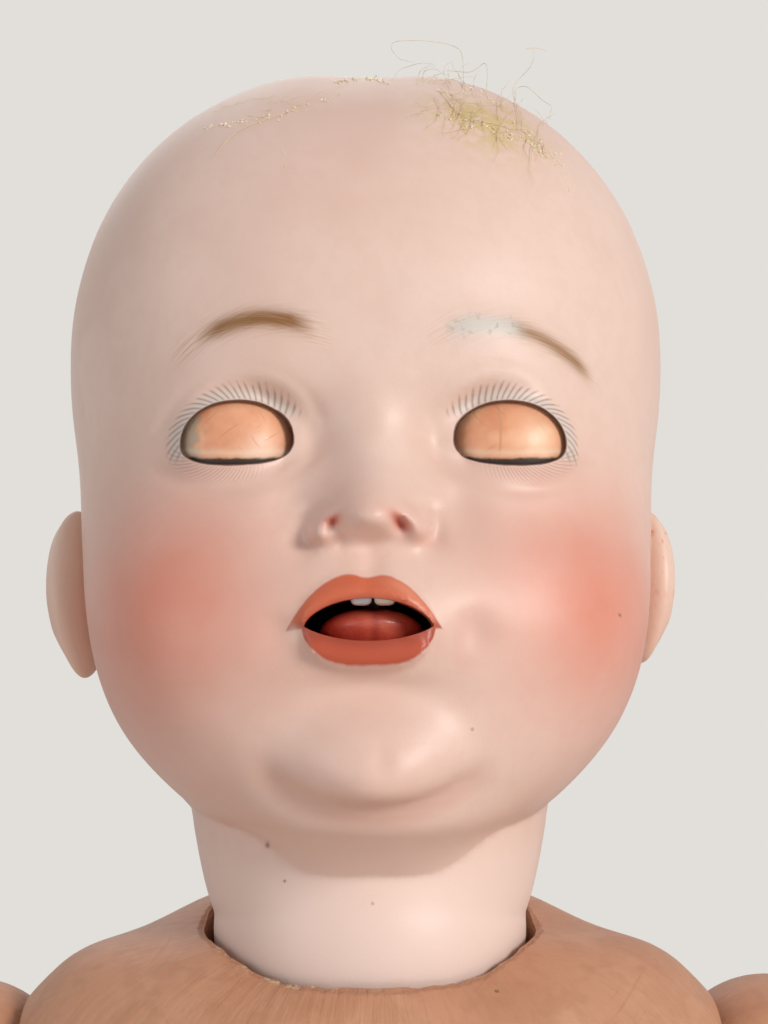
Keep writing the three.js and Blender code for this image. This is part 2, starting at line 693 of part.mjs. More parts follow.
const torso_centre_up = neck_height * torso_centre_share;
const torso_centre = new THREE.Vector3(0, 0, torso_centre_up);
const plainTorso = roundedForm(
  profileCurve(belly_profile_shares, torso_half_depth, neck_height, torso_centre_up),
  profileCurve(spine_profile_shares, torso_half_depth, neck_height, torso_centre_up),
  profileCurve(flank_profile_shares, torso_half_width, neck_height, torso_centre_up),
  torso_squareness_share,
);
const hip_normal = (side) => new THREE.Vector3(side * Math.cos(hip_slope), 0, -Math.sin(hip_slope));
const hip_face_up = thigh_radius + thigh_ball_out * Math.sin(hip_slope);
const hip_face = (side) => new THREE.Vector3(side * hip_face_x, 0, hip_face_up);
const shoulder_point = (side) => new THREE.Vector3(side * shoulder_face, 0, shoulder_height);
const aside = (side) => new THREE.Vector3(side, 0, 0);

// Form inside the flat seat, the shoulder faces and the hip faces, all taken in by a depth
function torsoForm(depth, columns, rows) {
  let form = raySurface(torso_centre, (ray) => plainTorso(ray) - depth, columns, rows);
  form = form.subtract(beyond(new THREE.Vector3(0, 0, depth), new THREE.Vector3(0, 0, -1)));
  for (const side of [1, -1]) {
    const shoulder = shoulder_point(side).addScaledVector(aside(side), -depth);
    form = form.subtract(beyond(shoulder, aside(side)));
    const hip = hip_face(side).addScaledVector(hip_normal(side), -depth);
    form = form.subtract(beyond(hip, hip_normal(side)));
  }
  return form;
}

function torsoShell() {
  const neck_centre = new THREE.Vector3(0, 0, neck_height);
  const outside = torsoForm(0, torso_columns, torso_rows);
  const cup = hollowBall(cup_radius + cup_wall, neck_centre, 20, 12).intersect(outside);
  let shell = outside.subtract(torsoForm(torso_wall, torso_columns / 2, torso_rows / 2)).add(cup);
  shell = shell.subtract(hollowBall(cup_radius, neck_centre, 24, 16));
  shell = shell.subtract(rod(cup_hole_radius, torso_centre, neck_centre, 20));
  for (const side of [1, -1]) {
    const out = torso_wall * 2;
    const inward = hook_reach + hook_ring_radius + torso_wall;
    const shoulder = shoulder_point(side);
    shell = shell.subtract(rod(string_hole_radius, shoulder.clone().addScaledVector(aside(side), -inward),
      shoulder.clone().addScaledVector(aside(side), out), 16));
    const hip = hip_face(side);
    shell = shell.subtract(rod(string_hole_radius, hip.clone().addScaledVector(hip_normal(side), -inward),
      hip.clone().addScaledVector(hip_normal(side), out), 16));
  }
  return shell;
}

function buildTorso() {
  const shell = torsoShell();
  const front = new THREE.Vector3(0, -seam_gap / 2, 0);
  const back = new THREE.Vector3(0, seam_gap / 2, 0);
  addPiece(doll, 'torso_front', shell.subtract(beyond(front, new THREE.Vector3(0, 1, 0))), composition());
  addPiece(doll, 'torso_back', shell.subtract(beyond(back, new THREE.Vector3(0, -1, 0))), composition());
}

// Limb that swells and tapers along its bones, round at both ends
function limb(points, radii, columns, rows) {
  const curve = new THREE.CatmullRomCurve3(points);
  const geometry = new THREE.SphereGeometry(1, columns, rows);
  const places = geometry.attributes.position;
  const cap_rows = 3;
  const rows_between = rows - 2 * cap_rows;
  for (let i = 0; i < places.count; i++) {
    const x = places.getX(i);
    const z = places.getZ(i);
    const row = Math.round((Math.acos(THREE.MathUtils.clamp(places.getY(i), -1, 1)) / Math.PI) * rows);
    const share = THREE.MathUtils.clamp((row - cap_rows) / rows_between, 0, 1);
    const tangent = curve.getTangent(share);
    const across = new THREE.Vector3(1, 0, 0).addScaledVector(tangent, -tangent.x).normalize();
    const other = new THREE.Vector3().crossVectors(tangent, across);
    const place = share * (radii.length - 1);
    const low = Math.min(Math.floor(place), radii.length - 2);
    const blend = place - low;
    const radius = THREE.MathUtils.lerp(radii[low], radii[low + 1], blend * blend * (3 - 2 * blend));
    const into_cap = row < cap_rows ? cap_rows - row : Math.max(row - rows + cap_rows, 0);
    const bend = (into_cap / cap_rows) * (Math.PI / 2);
    const forward = (row < cap_rows ? -1 : 1) * radius * Math.sin(bend);
    const wide = radius * Math.cos(bend);
    const length = Math.hypot(x, z) || 1;
    const point = curve.getPoint(share).addScaledVector(tangent, forward);
    point.addScaledVector(across, (wide * x) / length).addScaledVector(other, (wide * z) / length);
    places.setXYZ(i, point.x, point.y, point.z);
  }
  return solid(geometry);
}

// Places along the arm, for the left side, from the shoulder ball to the wrist
const shoulder_centre = new THREE.Vector3(shoulder_face + shoulder_ball_out, 0, shoulder_height);
const elbow = new THREE.Vector3(0.12, -0.55, -0.83).normalize().multiplyScalar(upper_arm_length).add(shoulder_centre);
const wrist = new THREE.Vector3(-0.02, -0.96, 0.26).normalize().multiplyScalar(forearm_length).add(elbow);
const palm_direction = new THREE.Vector3(-0.12, -0.98, 0.1).normalize();

function armSolid() {
  const between = shoulder_centre.clone().lerp(elbow, 0.5);
  const forearm_middle = elbow.clone().lerp(wrist, 0.45);
  const arm_radii = [shoulder_ball_radius, (shoulder_ball_radius + elbow_radius) / 2, elbow_radius,
    (elbow_radius + wrist_radius) / 2, wrist_radius];
  let arm = limb([shoulder_centre, between, elbow, forearm_middle, wrist], arm_radii, 12, 14);
  const turn = facing(palm_direction);
  const palm_centre = wrist.clone().addScaledVector(palm_direction, palm_length / 2);
  const radii = new THREE.Vector3(palm_thickness / 2, palm_length * 0.6, palm_width / 2);
  arm = arm.add(egg(radii, turn, palm_centre, 10, 8));
  const knuckles = wrist.clone().addScaledVector(palm_direction, palm_length * 0.85);
  const down = new THREE.Vector3(0, 0, -1);
  for (let i = 0; i < 4; i++) {
    const spread = (i - 1.5) * finger_radius * 1.7;
    const start = knuckles.clone().addScaledVector(down, spread);
    const reach = palm_direction.clone().addScaledVector(down, (i - 1.5) * 0.12).add(new THREE.Vector3(-0.3, 0, 0));
    arm = arm.add(capsule(start, reach.normalize(), finger_length));
  }
  const thumb_start = wrist.clone().addScaledVector(palm_direction, palm_length * 0.4)
    .addScaledVector(down, -palm_width * 0.35);
  arm = arm.add(capsule(thumb_start, new THREE.Vector3(-0.5, -0.6, 0.6).normalize(), finger_length));
  const face = shoulder_point(1).addScaledVector(aside(1), seat_gap);
  return arm.subtract(beyond(face, aside(-1)));
}

function capsule(start, direction, length) {
  const geometry = new THREE.CapsuleGeometry(finger_radius, length, 2, 6, 1);
  geometry.translate(0, length / 2, 0);
  geometry.applyQuaternion(new THREE.Quaternion().setFromUnitVectors(new THREE.Vector3(0, 1, 0), direction));
  geometry.translate(start.x, start.y, start.z);
  return solid(geometry);
}

// Places along the leg, for the left side, from the hip ball to the heel
const hip_centre = hip_face(1).addScaledVector(hip_normal(1), thigh_ball_out);
const knee = new THREE.Vector3(0.22, -0.975, 0).normalize().multiplyScalar(thigh_length).add(hip_centre);
const ankle = new THREE.Vector3(-0.4, -0.9, -0.17).normalize().multiplyScalar(shin_length).add(knee);
const foot_direction = new THREE.Vector3(-0.25, -0.5, 0.83).normalize();

function legSolid() {
  const thigh_middle = hip_centre.clone().lerp(knee, 0.5);
  const shin_middle = knee.clone().lerp(ankle, 0.45);
  const leg_radii = [thigh_radius, thigh_radius, knee_radius, (knee_radius * 2 + ankle_radius) / 3, ankle_radius];
  let leg = limb([hip_centre, thigh_middle, knee, shin_middle, ankle], leg_radii, 14, 14);
  const turn = facing(foot_direction);
  const foot_centre = ankle.clone().addScaledVector(foot_direction, foot_length * 0.2);
  const radii = new THREE.Vector3(foot_width / 2, foot_length / 2, foot_height / 2);
  leg = leg.add(egg(radii, turn, foot_centre, 12, 8));
  const across = new THREE.Vector3(1, 0, 0).applyQuaternion(turn);
  for (let i = 0; i < 5; i++) {
    const ahead = foot_length * (0.45 - 0.035 * Math.abs(i - 1) ** 1.3);
    const spot = foot_centre.clone().addScaledVector(across, (i - 2) * toe_radius * 1.25);
    spot.addScaledVector(foot_direction, ahead);
    leg = leg.add(ball(i === 0 ? toe_radius * 1.25 : toe_radius, spot, 6, 5));
  }
  const face = hip_face(1).addScaledVector(hip_normal(1), seat_gap);
  return leg.subtract(beyond(face, hip_normal(1).negate()));
}

// Limb with its recess, wooden plug and hook at a face, and the cord's end ring place
function buildLimb(name, side, body, face, normal, joint) {
  const inward = normal.clone().negate();
  const depth = plug_length + seat_gap * 2;
  const recess = bore(plug_radius + seat_gap, face.clone().addScaledVector(inward, seat_gap * 3),
    face.clone().addScaledVector(normal, depth + seat_gap), 20);
  const mirror = new THREE.Matrix4().makeScale(side, 1, 1);
  const cut = body.subtract(recess);
  addPiece(doll, `${name}`, side > 0 ? cut : mirroredSolid(cut, mirror), composition());
  const plug_from = face.clone().addScaledVector(normal, seat_gap * 2);
  const plug_to = plug_from.clone().addScaledVector(normal, plug_length - seat_gap);
  const bore_to = plug_to.clone().addScaledVector(normal, -torso_wall / 2);
  const wire_bore = bore(hook_wire_radius + seat_gap, face.clone().addScaledVector(inward, torso_wall), bore_to, 10);
  const plug = rod(plug_radius, plug_from, plug_to, 20).subtract(wire_bore);
  addPiece(doll, `${joint}_plug_${sideName(side)}`, side > 0 ? plug : mirroredSolid(plug, mirror), beech());
  const eye_centre = face.clone().addScaledVector(inward, hook_reach);
  const shank_from = eye_centre.clone().addScaledVector(normal, hook_ring_radius);
  const shank_to = bore_to.clone().addScaledVector(inward, seat_gap);
  const hook = rod(hook_wire_radius, shank_from, shank_to, 8)
    .add(ring(eye_centre, new THREE.Vector3(0, 1, 0), hook_ring_radius, hook_wire_radius));
  addPiece(doll, `${joint}_hook_${sideName(side)}`, side > 0 ? hook : mirroredSolid(hook, mirror), steel());
  return eye_centre;
}

const sideName = (side) => (side > 0 ? 'left' : 'right');

function mirroredSolid(body, mirror) {
  const geometry = geometryOf(body).applyMatrix4(mirror);
  const index = geometry.index.array;
  for (let i = 0; i < index.length; i += 3) {
    const kept = index[i];
    index[i] = index[i + 1];
    index[i + 1] = kept;
  }
  return solid(geometry);
}

// Elastic whose left half runs straight to a bend round the middle, with a ring at each end in a hook's eye
function elasticThrough(eye_left, toward, bend_points) {
  const offset = hook_ring_radius - hook_wire_radius - elastic_loop_wire - seat_gap + elastic_loop_radius;
  const loop_centre = eye_left.clone().addScaledVector(toward, offset);
  const start = loop_centre.clone().addScaledVector(toward, elastic_loop_radius);
  const mirror = new THREE.Matrix4().makeScale(-1, 1, 1);
  const axis = new THREE.Vector3().crossVectors(toward, new THREE.Vector3(0, 1, 0)).normalize();
  const straight = rod(elastic_radius, start, bend_points[0], 8);
  const half = straight.add(ring(loop_centre, axis, elastic_loop_radius, elastic_loop_wire));
  const back = bend_points.slice(0, -1).reverse().map((point) => point.clone().applyMatrix4(mirror));
  const bend = wire(new THREE.CatmullRomCurve3([...bend_points, ...back]), elastic_radius, 8, 10);
  return half.add(bend).add(mirroredSolid(half, mirror));
}

// Route of the leg elastic round the top of the neck hook's bend
function roundHook(hip_eye) {
  const centre = new THREE.Vector3(0, hook_bend_radius, neck_height - hook_drop - hook_bend_radius);
  const wrap = wire_radius + seat_gap + elastic_radius;
  const down = centre.clone().sub(hip_eye);
  const last = Math.atan2(down.z, hip_eye.x);
  return [last, last * 0.75, last / 2, last / 4, 0].map(
    (angle) => centre.clone().add(new THREE.Vector3(wrap * Math.sin(angle), 0, wrap * Math.cos(angle))),
  );
}

// Route of the arm elastic past the neck hook
function besideHook(shoulder_eye) {
  const near = elastic_step_aside * 2;
  return [1, 0.5, 0].map((share) => new THREE.Vector3(near * share, elastic_step_aside, shoulder_eye.z));
}

function buildLimbs() {
  const arm = armSolid();
  const leg = legSolid();
  let shoulder_eye;
  let hip_eye;
  for (const side of [-1, 1]) {
    shoulder_eye = buildLimb(`arm_${sideName(side)}`, side, arm, shoulder_point(1), aside(1), 'shoulder');
    hip_eye = buildLimb(`leg_${sideName(side)}`, side, leg, hip_face(1), hip_normal(1), 'hip');
  }
  const arm_route = besideHook(shoulder_eye);
  const arm_toward = arm_route[0].clone().sub(shoulder_eye).normalize();
  addPiece(doll, 'arm_elastic', elasticThrough(shoulder_eye, arm_toward, arm_route), elastic_cotton());
  const leg_route = roundHook(hip_eye);
  const leg_toward = leg_route[0].clone().sub(hip_eye).normalize();
  addPiece(doll, 'leg_elastic', elasticThrough(hip_eye, leg_toward, leg_route), elastic_cotton());
}

buildHead();
buildNeckJoint();
buildTorso();
buildLimbs();

// The origin is the middle of the footprint
const reach = new THREE.Box3().setFromObject(doll, true);
const figure = new THREE.Group();
doll.position.y = -(reach.min.y + reach.max.y) / 2;
figure.add(doll);
export default figure;
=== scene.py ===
# Bisque head baby doll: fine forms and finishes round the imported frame.
# Pieces are drawn in millimetres, in the head's own frame or in the body's, and then placed.
import json
import math
import random

import bmesh
import bpy
import numpy as np
from mathutils import Matrix, Vector
from mathutils.bvhtree import BVHTree


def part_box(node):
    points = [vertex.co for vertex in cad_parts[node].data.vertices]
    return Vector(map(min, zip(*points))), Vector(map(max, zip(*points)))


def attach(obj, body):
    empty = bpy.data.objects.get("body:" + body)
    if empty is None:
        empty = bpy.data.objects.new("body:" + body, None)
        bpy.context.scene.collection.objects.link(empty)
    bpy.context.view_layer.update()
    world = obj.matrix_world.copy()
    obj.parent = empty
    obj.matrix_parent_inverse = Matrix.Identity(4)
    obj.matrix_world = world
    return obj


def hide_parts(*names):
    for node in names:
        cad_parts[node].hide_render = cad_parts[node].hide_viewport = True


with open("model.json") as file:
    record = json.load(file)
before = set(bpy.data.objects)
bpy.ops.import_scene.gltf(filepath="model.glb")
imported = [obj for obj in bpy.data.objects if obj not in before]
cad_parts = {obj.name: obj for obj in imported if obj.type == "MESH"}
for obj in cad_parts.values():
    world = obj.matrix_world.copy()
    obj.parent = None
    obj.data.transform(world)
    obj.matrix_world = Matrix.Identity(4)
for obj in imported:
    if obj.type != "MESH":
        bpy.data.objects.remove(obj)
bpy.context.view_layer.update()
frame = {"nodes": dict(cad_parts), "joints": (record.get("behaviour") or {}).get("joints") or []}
scene = bpy.context.scene
chance = random.Random(11)

MM = 0.001
joint_place = {joint["name"]: Vector(joint["pos_m"]) for joint in frame["joints"]}
neck_ball = joint_place["neck_turn"]

# The doll's left side lies on +X
sides = ((1, "left"), (-1, "right"))

# Frames of the pieces: the head's is tipped back about the neck ball, the body's stands on the floor
head_tip_back = math.radians(15)
head_frame = Matrix.Translation(neck_ball) @ Matrix.Rotation(-head_tip_back, 4, "X") @ Matrix.Scale(MM, 4)
body_frame = Matrix.Translation((0, neck_ball.y, 0)) @ Matrix.Scale(MM, 4)


def middle_of(node, place):
    """Middle of a CAD node's box, in a frame's millimetres."""
    low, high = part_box(node)
    return place.inverted() @ ((low + high) / 2)


# Camera: how the photograph was taken
photo_width = 768
photo_height = 1024
photo_focal = 1800
photo_axis_x = 370
sensor_height = 36
camera_distance = 0.405
camera_rise = 0.093
camera_turn = math.radians(-1.1)
camera_place = neck_ball + Vector((
    camera_distance * math.sin(camera_turn),
    -camera_distance * math.cos(camera_turn),
    camera_rise,
))

# Head sizes, measured from the centre of the neck ball
head_height = 195.5
head_half_width = 69
face_reach = 76
nape_reach = 75
ray_centre = np.array([0, -6, 104.0])
head_wall = 5.5
neck_ball_radius = 35
neck_wall = 4.4
neck_flare = 7.4
neck_flare_height = 30
neck_hole_radius = 24
nape_groove_height = 12
crown_front = Vector((0, -22.04, 192.57))
crown_slope = math.radians(21)
crown_normal = Vector((0, math.sin(crown_slope), math.cos(crown_slope)))
seat_gap = 0.3
pate_depth = 3.5

# Eyes
eye_place = {1: middle_of("eye_left", head_frame), -1: middle_of("eye_right", head_frame)}
eye_aside = eye_place[1].x
eye_up = eye_place[1].z
eye_radius = 14
lid_outer = 14.9
lid_inner = 14.3
eye_socket_radius = 15.3
eye_rim_radius = 16.2
inner_corner_reach = 9.5
rim_aside = eye_aside - 0.3
rim_corner_up = eye_up - 1.25
rim_half_width = 11.4
rim_above = 8.0
rim_below = 5.5
rim_lean = 0.03
rim_squareness = 2.2

# Teeth and tongue
tooth_half = Vector((2.25, 1.5, 1.95))
tooth_shift = -0.5
tooth_aside = 2.3
tooth_forward = 72.6
tooth_up = middle_of("tooth_left", head_frame).z + 1.9
tongue_place = Vector((-0.6, -63, 54.2))
tongue_radii = Vector((10.4, 9, 4.4))
tongue_pitch = math.radians(8)

# Mouth
mouth_aside = -1.4
mouth_up = 52.9
mouth_half_width = 12.5
mouth_above = 5.5
mouth_below = 2.9
mouth_slope = 0.19
mouth_front = 78
mouth_back = 58
cut_front = 140
upper_lip_aside = -2.3
upper_lip_half_width = 15.2
upper_lip_rise = 10.8
lower_lip_half_width = 12.9
lower_lip_drop = 7.4

# Outlines of the plain head as shares of its reach and height
face_profile_shares = [
    (0, 1), (0.382, 0.98), (0.645, 0.91), (0.829, 0.813), (0.914, 0.711), (0.928, 0.624),
    (0.895, 0.542), (0.849, 0.486), (0.849, 0.419), (0.882, 0.353), (0.888, 0.286), (0.855, 0.22),
    (0.809, 0.159), (0.711, 0.102), (0.553, 0.056), (0.289, 0.015), (0, -0.01),
]
nape_profile_shares = [
    (0, 1), (0.373, 0.98), (0.68, 0.916), (0.907, 0.818), (1.027, 0.706), (1.067, 0.588),
    (1.04, 0.486), (0.933, 0.384), (0.787, 0.292), (0.653, 0.205), (0.56, 0.113), (0.347, 0.026), (0, -0.01),
]
temple_profile_shares = [
    (0, 1), (0.391, 0.981), (0.681, 0.921), (0.888, 0.829), (0.987, 0.721), (0.993, 0.614),
    (0.957, 0.522), (0.935, 0.435), (0.891, 0.338), (0.801, 0.24), (0.645, 0.159), (0.449, 0.077),
    (0.261, 0.015), (0, -0.01),
]
head_squareness_share = 2.2

# Swellings and hollows of the face: aside, forward, up, wide, above, below and rise
face_forms = {
    "cheek": (40, 50, 60, 24, 24, 26, 7.5),
    "chin": (0.4, 66, 29.5, 13.5, 8, 8.5, 8.6),
    "jowl": (0, 58, 18, 27, 5, 5, 2.4),
    "throat": (0, 40, 4, 30, 11, 13, -3.6),
    "jaw_side": (31, 28, 9, 15, 12, 12, -6.6),
    "double_chin": (0, 42, 4, 10, 11, 12, 0.9),
    "jaw_corner": (46, 14, 16, 9, 12, 10, -2.4),
    "muzzle": (-0.2, 74, 58, 17, 11, 10, 4.0),
    "bridge": (0, 70, 92, 7.0, 11, 12, 2.4),
    "nose": (-0.5, 78, 80, 8.0, 9, 5.5, 6.0),
    "nose_tip": (-0.8, 84, 77.5, 7.4, 5.8, 5.4, 9.0),
    "nose_side": (17, 72, 78, 4.5, 8, 8, -1.6),
    "eye_corner": (14.5, 72, 93, 6.5, 8, 7, -4.2),
    "brow": (27, 74, 114, 18, 6, 6, 1.2),
    "eye_lid": (29, 70, 95, 13, 11, 10, 4.2),
    "under_lip": (-0.6, 74, 40.6, 14, 3.8, 4.4, -3.0),
    "philtrum": (-0.6, 80, 66, 2.3, 4.2, 3.4, -1.0),
    "mouth_corner": (18.5, 72, 54, 3.6, 4.4, 4.4, -1.4),
}
fine_forms = [
    (-10.3, 77, 73.0, 2.9, 3.2, 2.8, 4.2),
    (8.0, 77, 73.4, 2.8, 3.2, 2.8, 4.0),
    (-8.2, 78, 73.6, 1.25, 1.0, 1.2, -2.6),
    (4.9, 80, 73.0, 1.6, 1.1, 1.3, -2.8),
    (-14.4, 74, 73.8, 1.9, 3.4, 3.2, -1.4),
    (12.0, 74, 74.2, 1.9, 3.4, 3.2, -1.4),
    (-12.2, 76, 77.4, 2.6, 1.7, 1.7, -1.1),
    (9.9, 76, 77.8, 2.6, 1.7, 1.7, -1.1),
    (-6.6, 78, 70.6, 1.1, 2.2, 1.6, -1.0),
    (-14.2, 76, 70.2, 2.8, 2.4, 2.8, -2.0),
    (11.9, 76, 70.6, 2.8, 2.4, 2.8, -2.0),
    (-1.4, 80, 69.4, 5.2, 1.8, 2.6, -1.2),
    (1.0, 72, 27.4, 2.2, 2.2, 2.2, -1.1),
]
form_depth = 30
face_front = 40
fuller_side = 1.2


# Arithmetic that reads the same for mesh points and for a material's numbers
class Shade:
    """A number of a material, so that a pattern is written as plain arithmetic."""

    def __init__(self, tree, socket):
        self.tree = tree
        self.socket = socket

    def __pow__(self, power):
        return self * self if power == 2 else reckon(self.tree, "POWER", self, power)

    def __neg__(self):
        return self * -1

    def __abs__(self):
        return reckon(self.tree, "ABSOLUTE", self)


def arithmetic(operation, swapped=False):
    """One operation of a Shade with another value."""
    def method(self, other):
        return reckon(self.tree, operation, *((other, self) if swapped else (self, other)))
    return method


Shade.__add__ = Shade.__radd__ = arithmetic("ADD")
Shade.__mul__ = Shade.__rmul__ = arithmetic("MULTIPLY")
Shade.__sub__ = arithmetic("SUBTRACT")
Shade.__rsub__ = arithmetic("SUBTRACT", True)
Shade.__truediv__ = arithmetic("DIVIDE")
Shade.__rtruediv__ = arithmetic("DIVIDE", True)


def feed(tree, entry, value):
    """Sets a socket to a plain value, or links a Shade or a socket to it."""
    if isinstance(value, Shade):
        tree.links.new(value.socket, entry)
    elif isinstance(value, bpy.types.NodeSocket):
        tree.links.new(value, entry)
    else:
        entry.default_value = value


def reckon(tree, operation, *values):
    node = tree.nodes.new("ShaderNodeMath")
    node.operation = operation
    for entry, value in zip(node.inputs, values):
        feed(tree, entry, value)
    return Shade(tree, node.outputs[0])


def limited(value, bound, operation, plain):
    return reckon(value.tree, operation, value, bound) if isinstance(value, Shade) else plain(value, bound)


def at_least(value, floor):
    return limited(value, floor, "MAXIMUM", np.maximum)


def at_most(value, ceiling):
    return limited(value, ceiling, "MINIMUM", np.minimum)


def bell(value):
    """1 at zero, falling away on both sides."""
    if isinstance(value, Shade):
        return reckon(value.tree, "EXPONENT", -(value * value))
    return np.exp(-value * value)


def step(value, low, high):
    """0 up to low, 1 from high on, and smooth between them."""
    share = at_most(at_least((value - low) / (high - low), 0), 1)
    return share * share * (3 - share * 2)


def from_rim(aside, up):
    """Place seen from the corner of an eye opening: outwards and upwards."""
    out = aside - rim_aside
    return out, up - rim_corner_up + out * rim_lean


def rim_share(out, rise):
    """1 on the outline of an eye opening, less inside it and more outside."""
    over = at_least(rise, 0) / rim_above
    under = at_least(-rise, 0) / rim_below
    total = (abs(out) / rim_half_width) ** rim_squareness + over ** rim_squareness + under ** rim_squareness
    return (total + 0.000001) ** (1 / rim_squareness)


def rim_distance(aside, up):
    """Millimetres outside the outline of an eye opening."""
    out, rise = from_rim(aside, up)
    return (out * out + rise * rise) ** 0.5 * (1 - 1 / rim_share(out, rise))


def mouth_lines(x):
    """Heights of the lips' edges: upper lip top, opening top, opening bottom and lower lip bottom."""
    out = x - mouth_aside
    opening = at_least(1 - (out / mouth_half_width) ** 2, 0)
    upper = at_least(1 - (abs(x - upper_lip_aside) / upper_lip_half_width) ** 2.5, 0) ** 1.1
    lower = at_least(1 - (abs(out) / lower_lip_half_width) ** 3.2, 0) ** 0.65
    bow = bell((out + 0.4) / 2.2)
    return (
        mouth_up + upper * upper_lip_rise - bow,
        mouth_up + opening ** 0.65 * mouth_above,
        mouth_up - opening ** 0.8 * mouth_below,
        mouth_up - lower * lower_lip_drop,
    )


# Points and plain bodies in millimetres
def points_of(bm):
    return np.array([vert.co for vert in bm.verts])


def unit(rows):
    """Rows of numbers, each scaled to a length of 1."""
    return rows / np.linalg.norm(rows, axis=1)[:, None]


def down_share(places):
    """0 at the top of a unit ball and 1 at its bottom, even over its rows."""
    return np.arccos(np.clip(places[:, 2], -1, 1)) / math.pi


def from_front(places):
    """Angle round the upright axis, from the front."""
    return np.arctan2(places[:, 0], -places[:, 1])


def round_part(places):
    """Distance from the upright axis, and the cosine and sine of the angle round it."""
    flat = np.maximum(np.hypot(places[:, 0], places[:, 1]), 1e-9)
    return flat, places[:, 0] / flat, places[:, 1] / flat


def eased(t, start, end, pull_start, pull_end):
    """Smooth step from a start to an end, with a slope at each."""
    near = (2 * t**3 - 3 * t**2 + 1) * start + (t**3 - 2 * t**2 + t) * pull_start
    return near + (3 * t**2 - 2 * t**3) * end + (t**3 - t**2) * pull_end


def quarter_turn(axis):
    return Matrix.Rotation(math.radians(90), 4, axis)


def move_points(bm, places):
    for vert, place in zip(bm.verts, places):
        vert.co = place


def ball(radius, at, columns, rows):
    bm = bmesh.new()
    bmesh.ops.create_uvsphere(bm, u_segments=columns, v_segments=rows, radius=radius)
    bmesh.ops.translate(bm, verts=bm.verts, vec=Vector(at))
    return bm


def egg(radii, turn, at):
    bm = ball(1, (0, 0, 0), 48, 32)
    bm.transform(Matrix.Translation(at) @ turn.to_4x4() @ Matrix.Diagonal((*radii, 1)))
    return bm


def from_upright(axis):
    """Turn that carries Z onto an axis."""
    return Vector((0, 0, 1)).rotation_difference(Vector(axis)).to_matrix().to_4x4()


def rod(radius, start, end, sides=32, end_radius=None):
    bm = bmesh.new()
    start, end = Vector(start), Vector(end)
    place = Matrix.Translation((start + end) / 2) @ from_upright(end - start)
    bmesh.ops.create_cone(bm, cap_ends=True, segments=sides, radius1=radius, radius2=end_radius or radius,
                          depth=(end - start).length, matrix=place)
    return bm


def block(size, at):
    bm = bmesh.new()
    bmesh.ops.create_cube(bm, size=1)
    bm.transform(Matrix.Translation(at) @ Matrix.Diagonal((*size, 1)))
    return bm


def beyond(point, normal):
    """Everything on the far side of a plane, as one large box."""
    size = 900
    bm = block((size, size, size), (0, 0, size / 2))
    bm.transform(Matrix.Translation(point) @ from_upright(normal))
    return bm


def prism(outline, front, back, rise=0):
    """Flat outline in x and z, carried from y = front to y = back, and upwards by a rise."""
    bm = bmesh.new()
    bmesh.ops.create_circle(bm, cap_ends=True, segments=len(outline), radius=1)
    for vert, (x, z) in zip(bm.verts, outline):
        vert.co = (x, front, z)
    made = bmesh.ops.extrude_face_region(bm, geom=bm.faces[:])
    moved = [item for item in made["geom"] if isinstance(item, bmesh.types.BMVert)]
    bmesh.ops.translate(bm, verts=moved, vec=(0, back - front, rise))
    bmesh.ops.recalc_face_normals(bm, faces=bm.faces)
    return bm


def mesh_of(bm, name):
    mesh = bpy.data.meshes.new(name)
    bm.to_mesh(mesh)
    bm.free()
    return mesh


def linked(name, data):
    item = bpy.data.objects.new(name, data)
    scene.collection.objects.link(item)
    return item


def gathered(parts):
    """Several bodies as one mesh, still overlapping."""
    whole = bmesh.new()
    for part in parts:
        mesh = mesh_of(part, "part")
        whole.from_mesh(mesh)
        bpy.data.meshes.remove(mesh)
    return whole


def loose_object(bm):
    return linked("loose", mesh_of(bm, "loose"))


def settled(item, helpers=()):
    """The mesh of an object with its modifiers applied, as a bmesh; the objects go."""
    graph = bpy.context.evaluated_depsgraph_get()
    mesh = bpy.data.meshes.new_from_object(item.evaluated_get(graph))
    bm = bmesh.new()
    bm.from_mesh(mesh)
    bpy.data.meshes.remove(mesh)
    for gone in (item, *helpers):
        mesh = gone.data
        bpy.data.objects.remove(gone)
        bpy.data.meshes.remove(mesh)
    return bm


def joined(base, tools, operation):
    """UNION, DIFFERENCE or INTERSECT of closed bodies."""
    item = loose_object(base)
    helpers = [loose_object(tool) for tool in tools]
    for helper in helpers:
        cut = item.modifiers.new("cut", "BOOLEAN")
        cut.solver = "MANIFOLD"
        cut.operation = operation
        cut.object = helper
    return settled(item, helpers)


def moulded(bm, grain, rounds):
    """One skin round overlapping bodies, with its edges softened."""
    item = loose_object(bm)
    skin = item.modifiers.new("skin", "REMESH")
    skin.mode = "VOXEL"
    skin.voxel_size = grain
    soft = item.modifiers.new("soft", "SMOOTH")
    soft.factor = 0.5
    soft.iterations = rounds
    return settled(item)


def make_piece(name, bm, place, material, body, stands_for=(), crease=35):
    """Finishes a drawn body as a named piece that rides on a CAD body."""
    bm.transform(place)
    mesh = mesh_of(bm, name)
    mesh.materials.append(material)
    mesh.shade_smooth()
    mesh.set_sharp_from_angle(angle=math.radians(crease))
    piece = linked(name, mesh)
    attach(piece, body)
    if stands_for:
        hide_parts(*stands_for)
    return piece


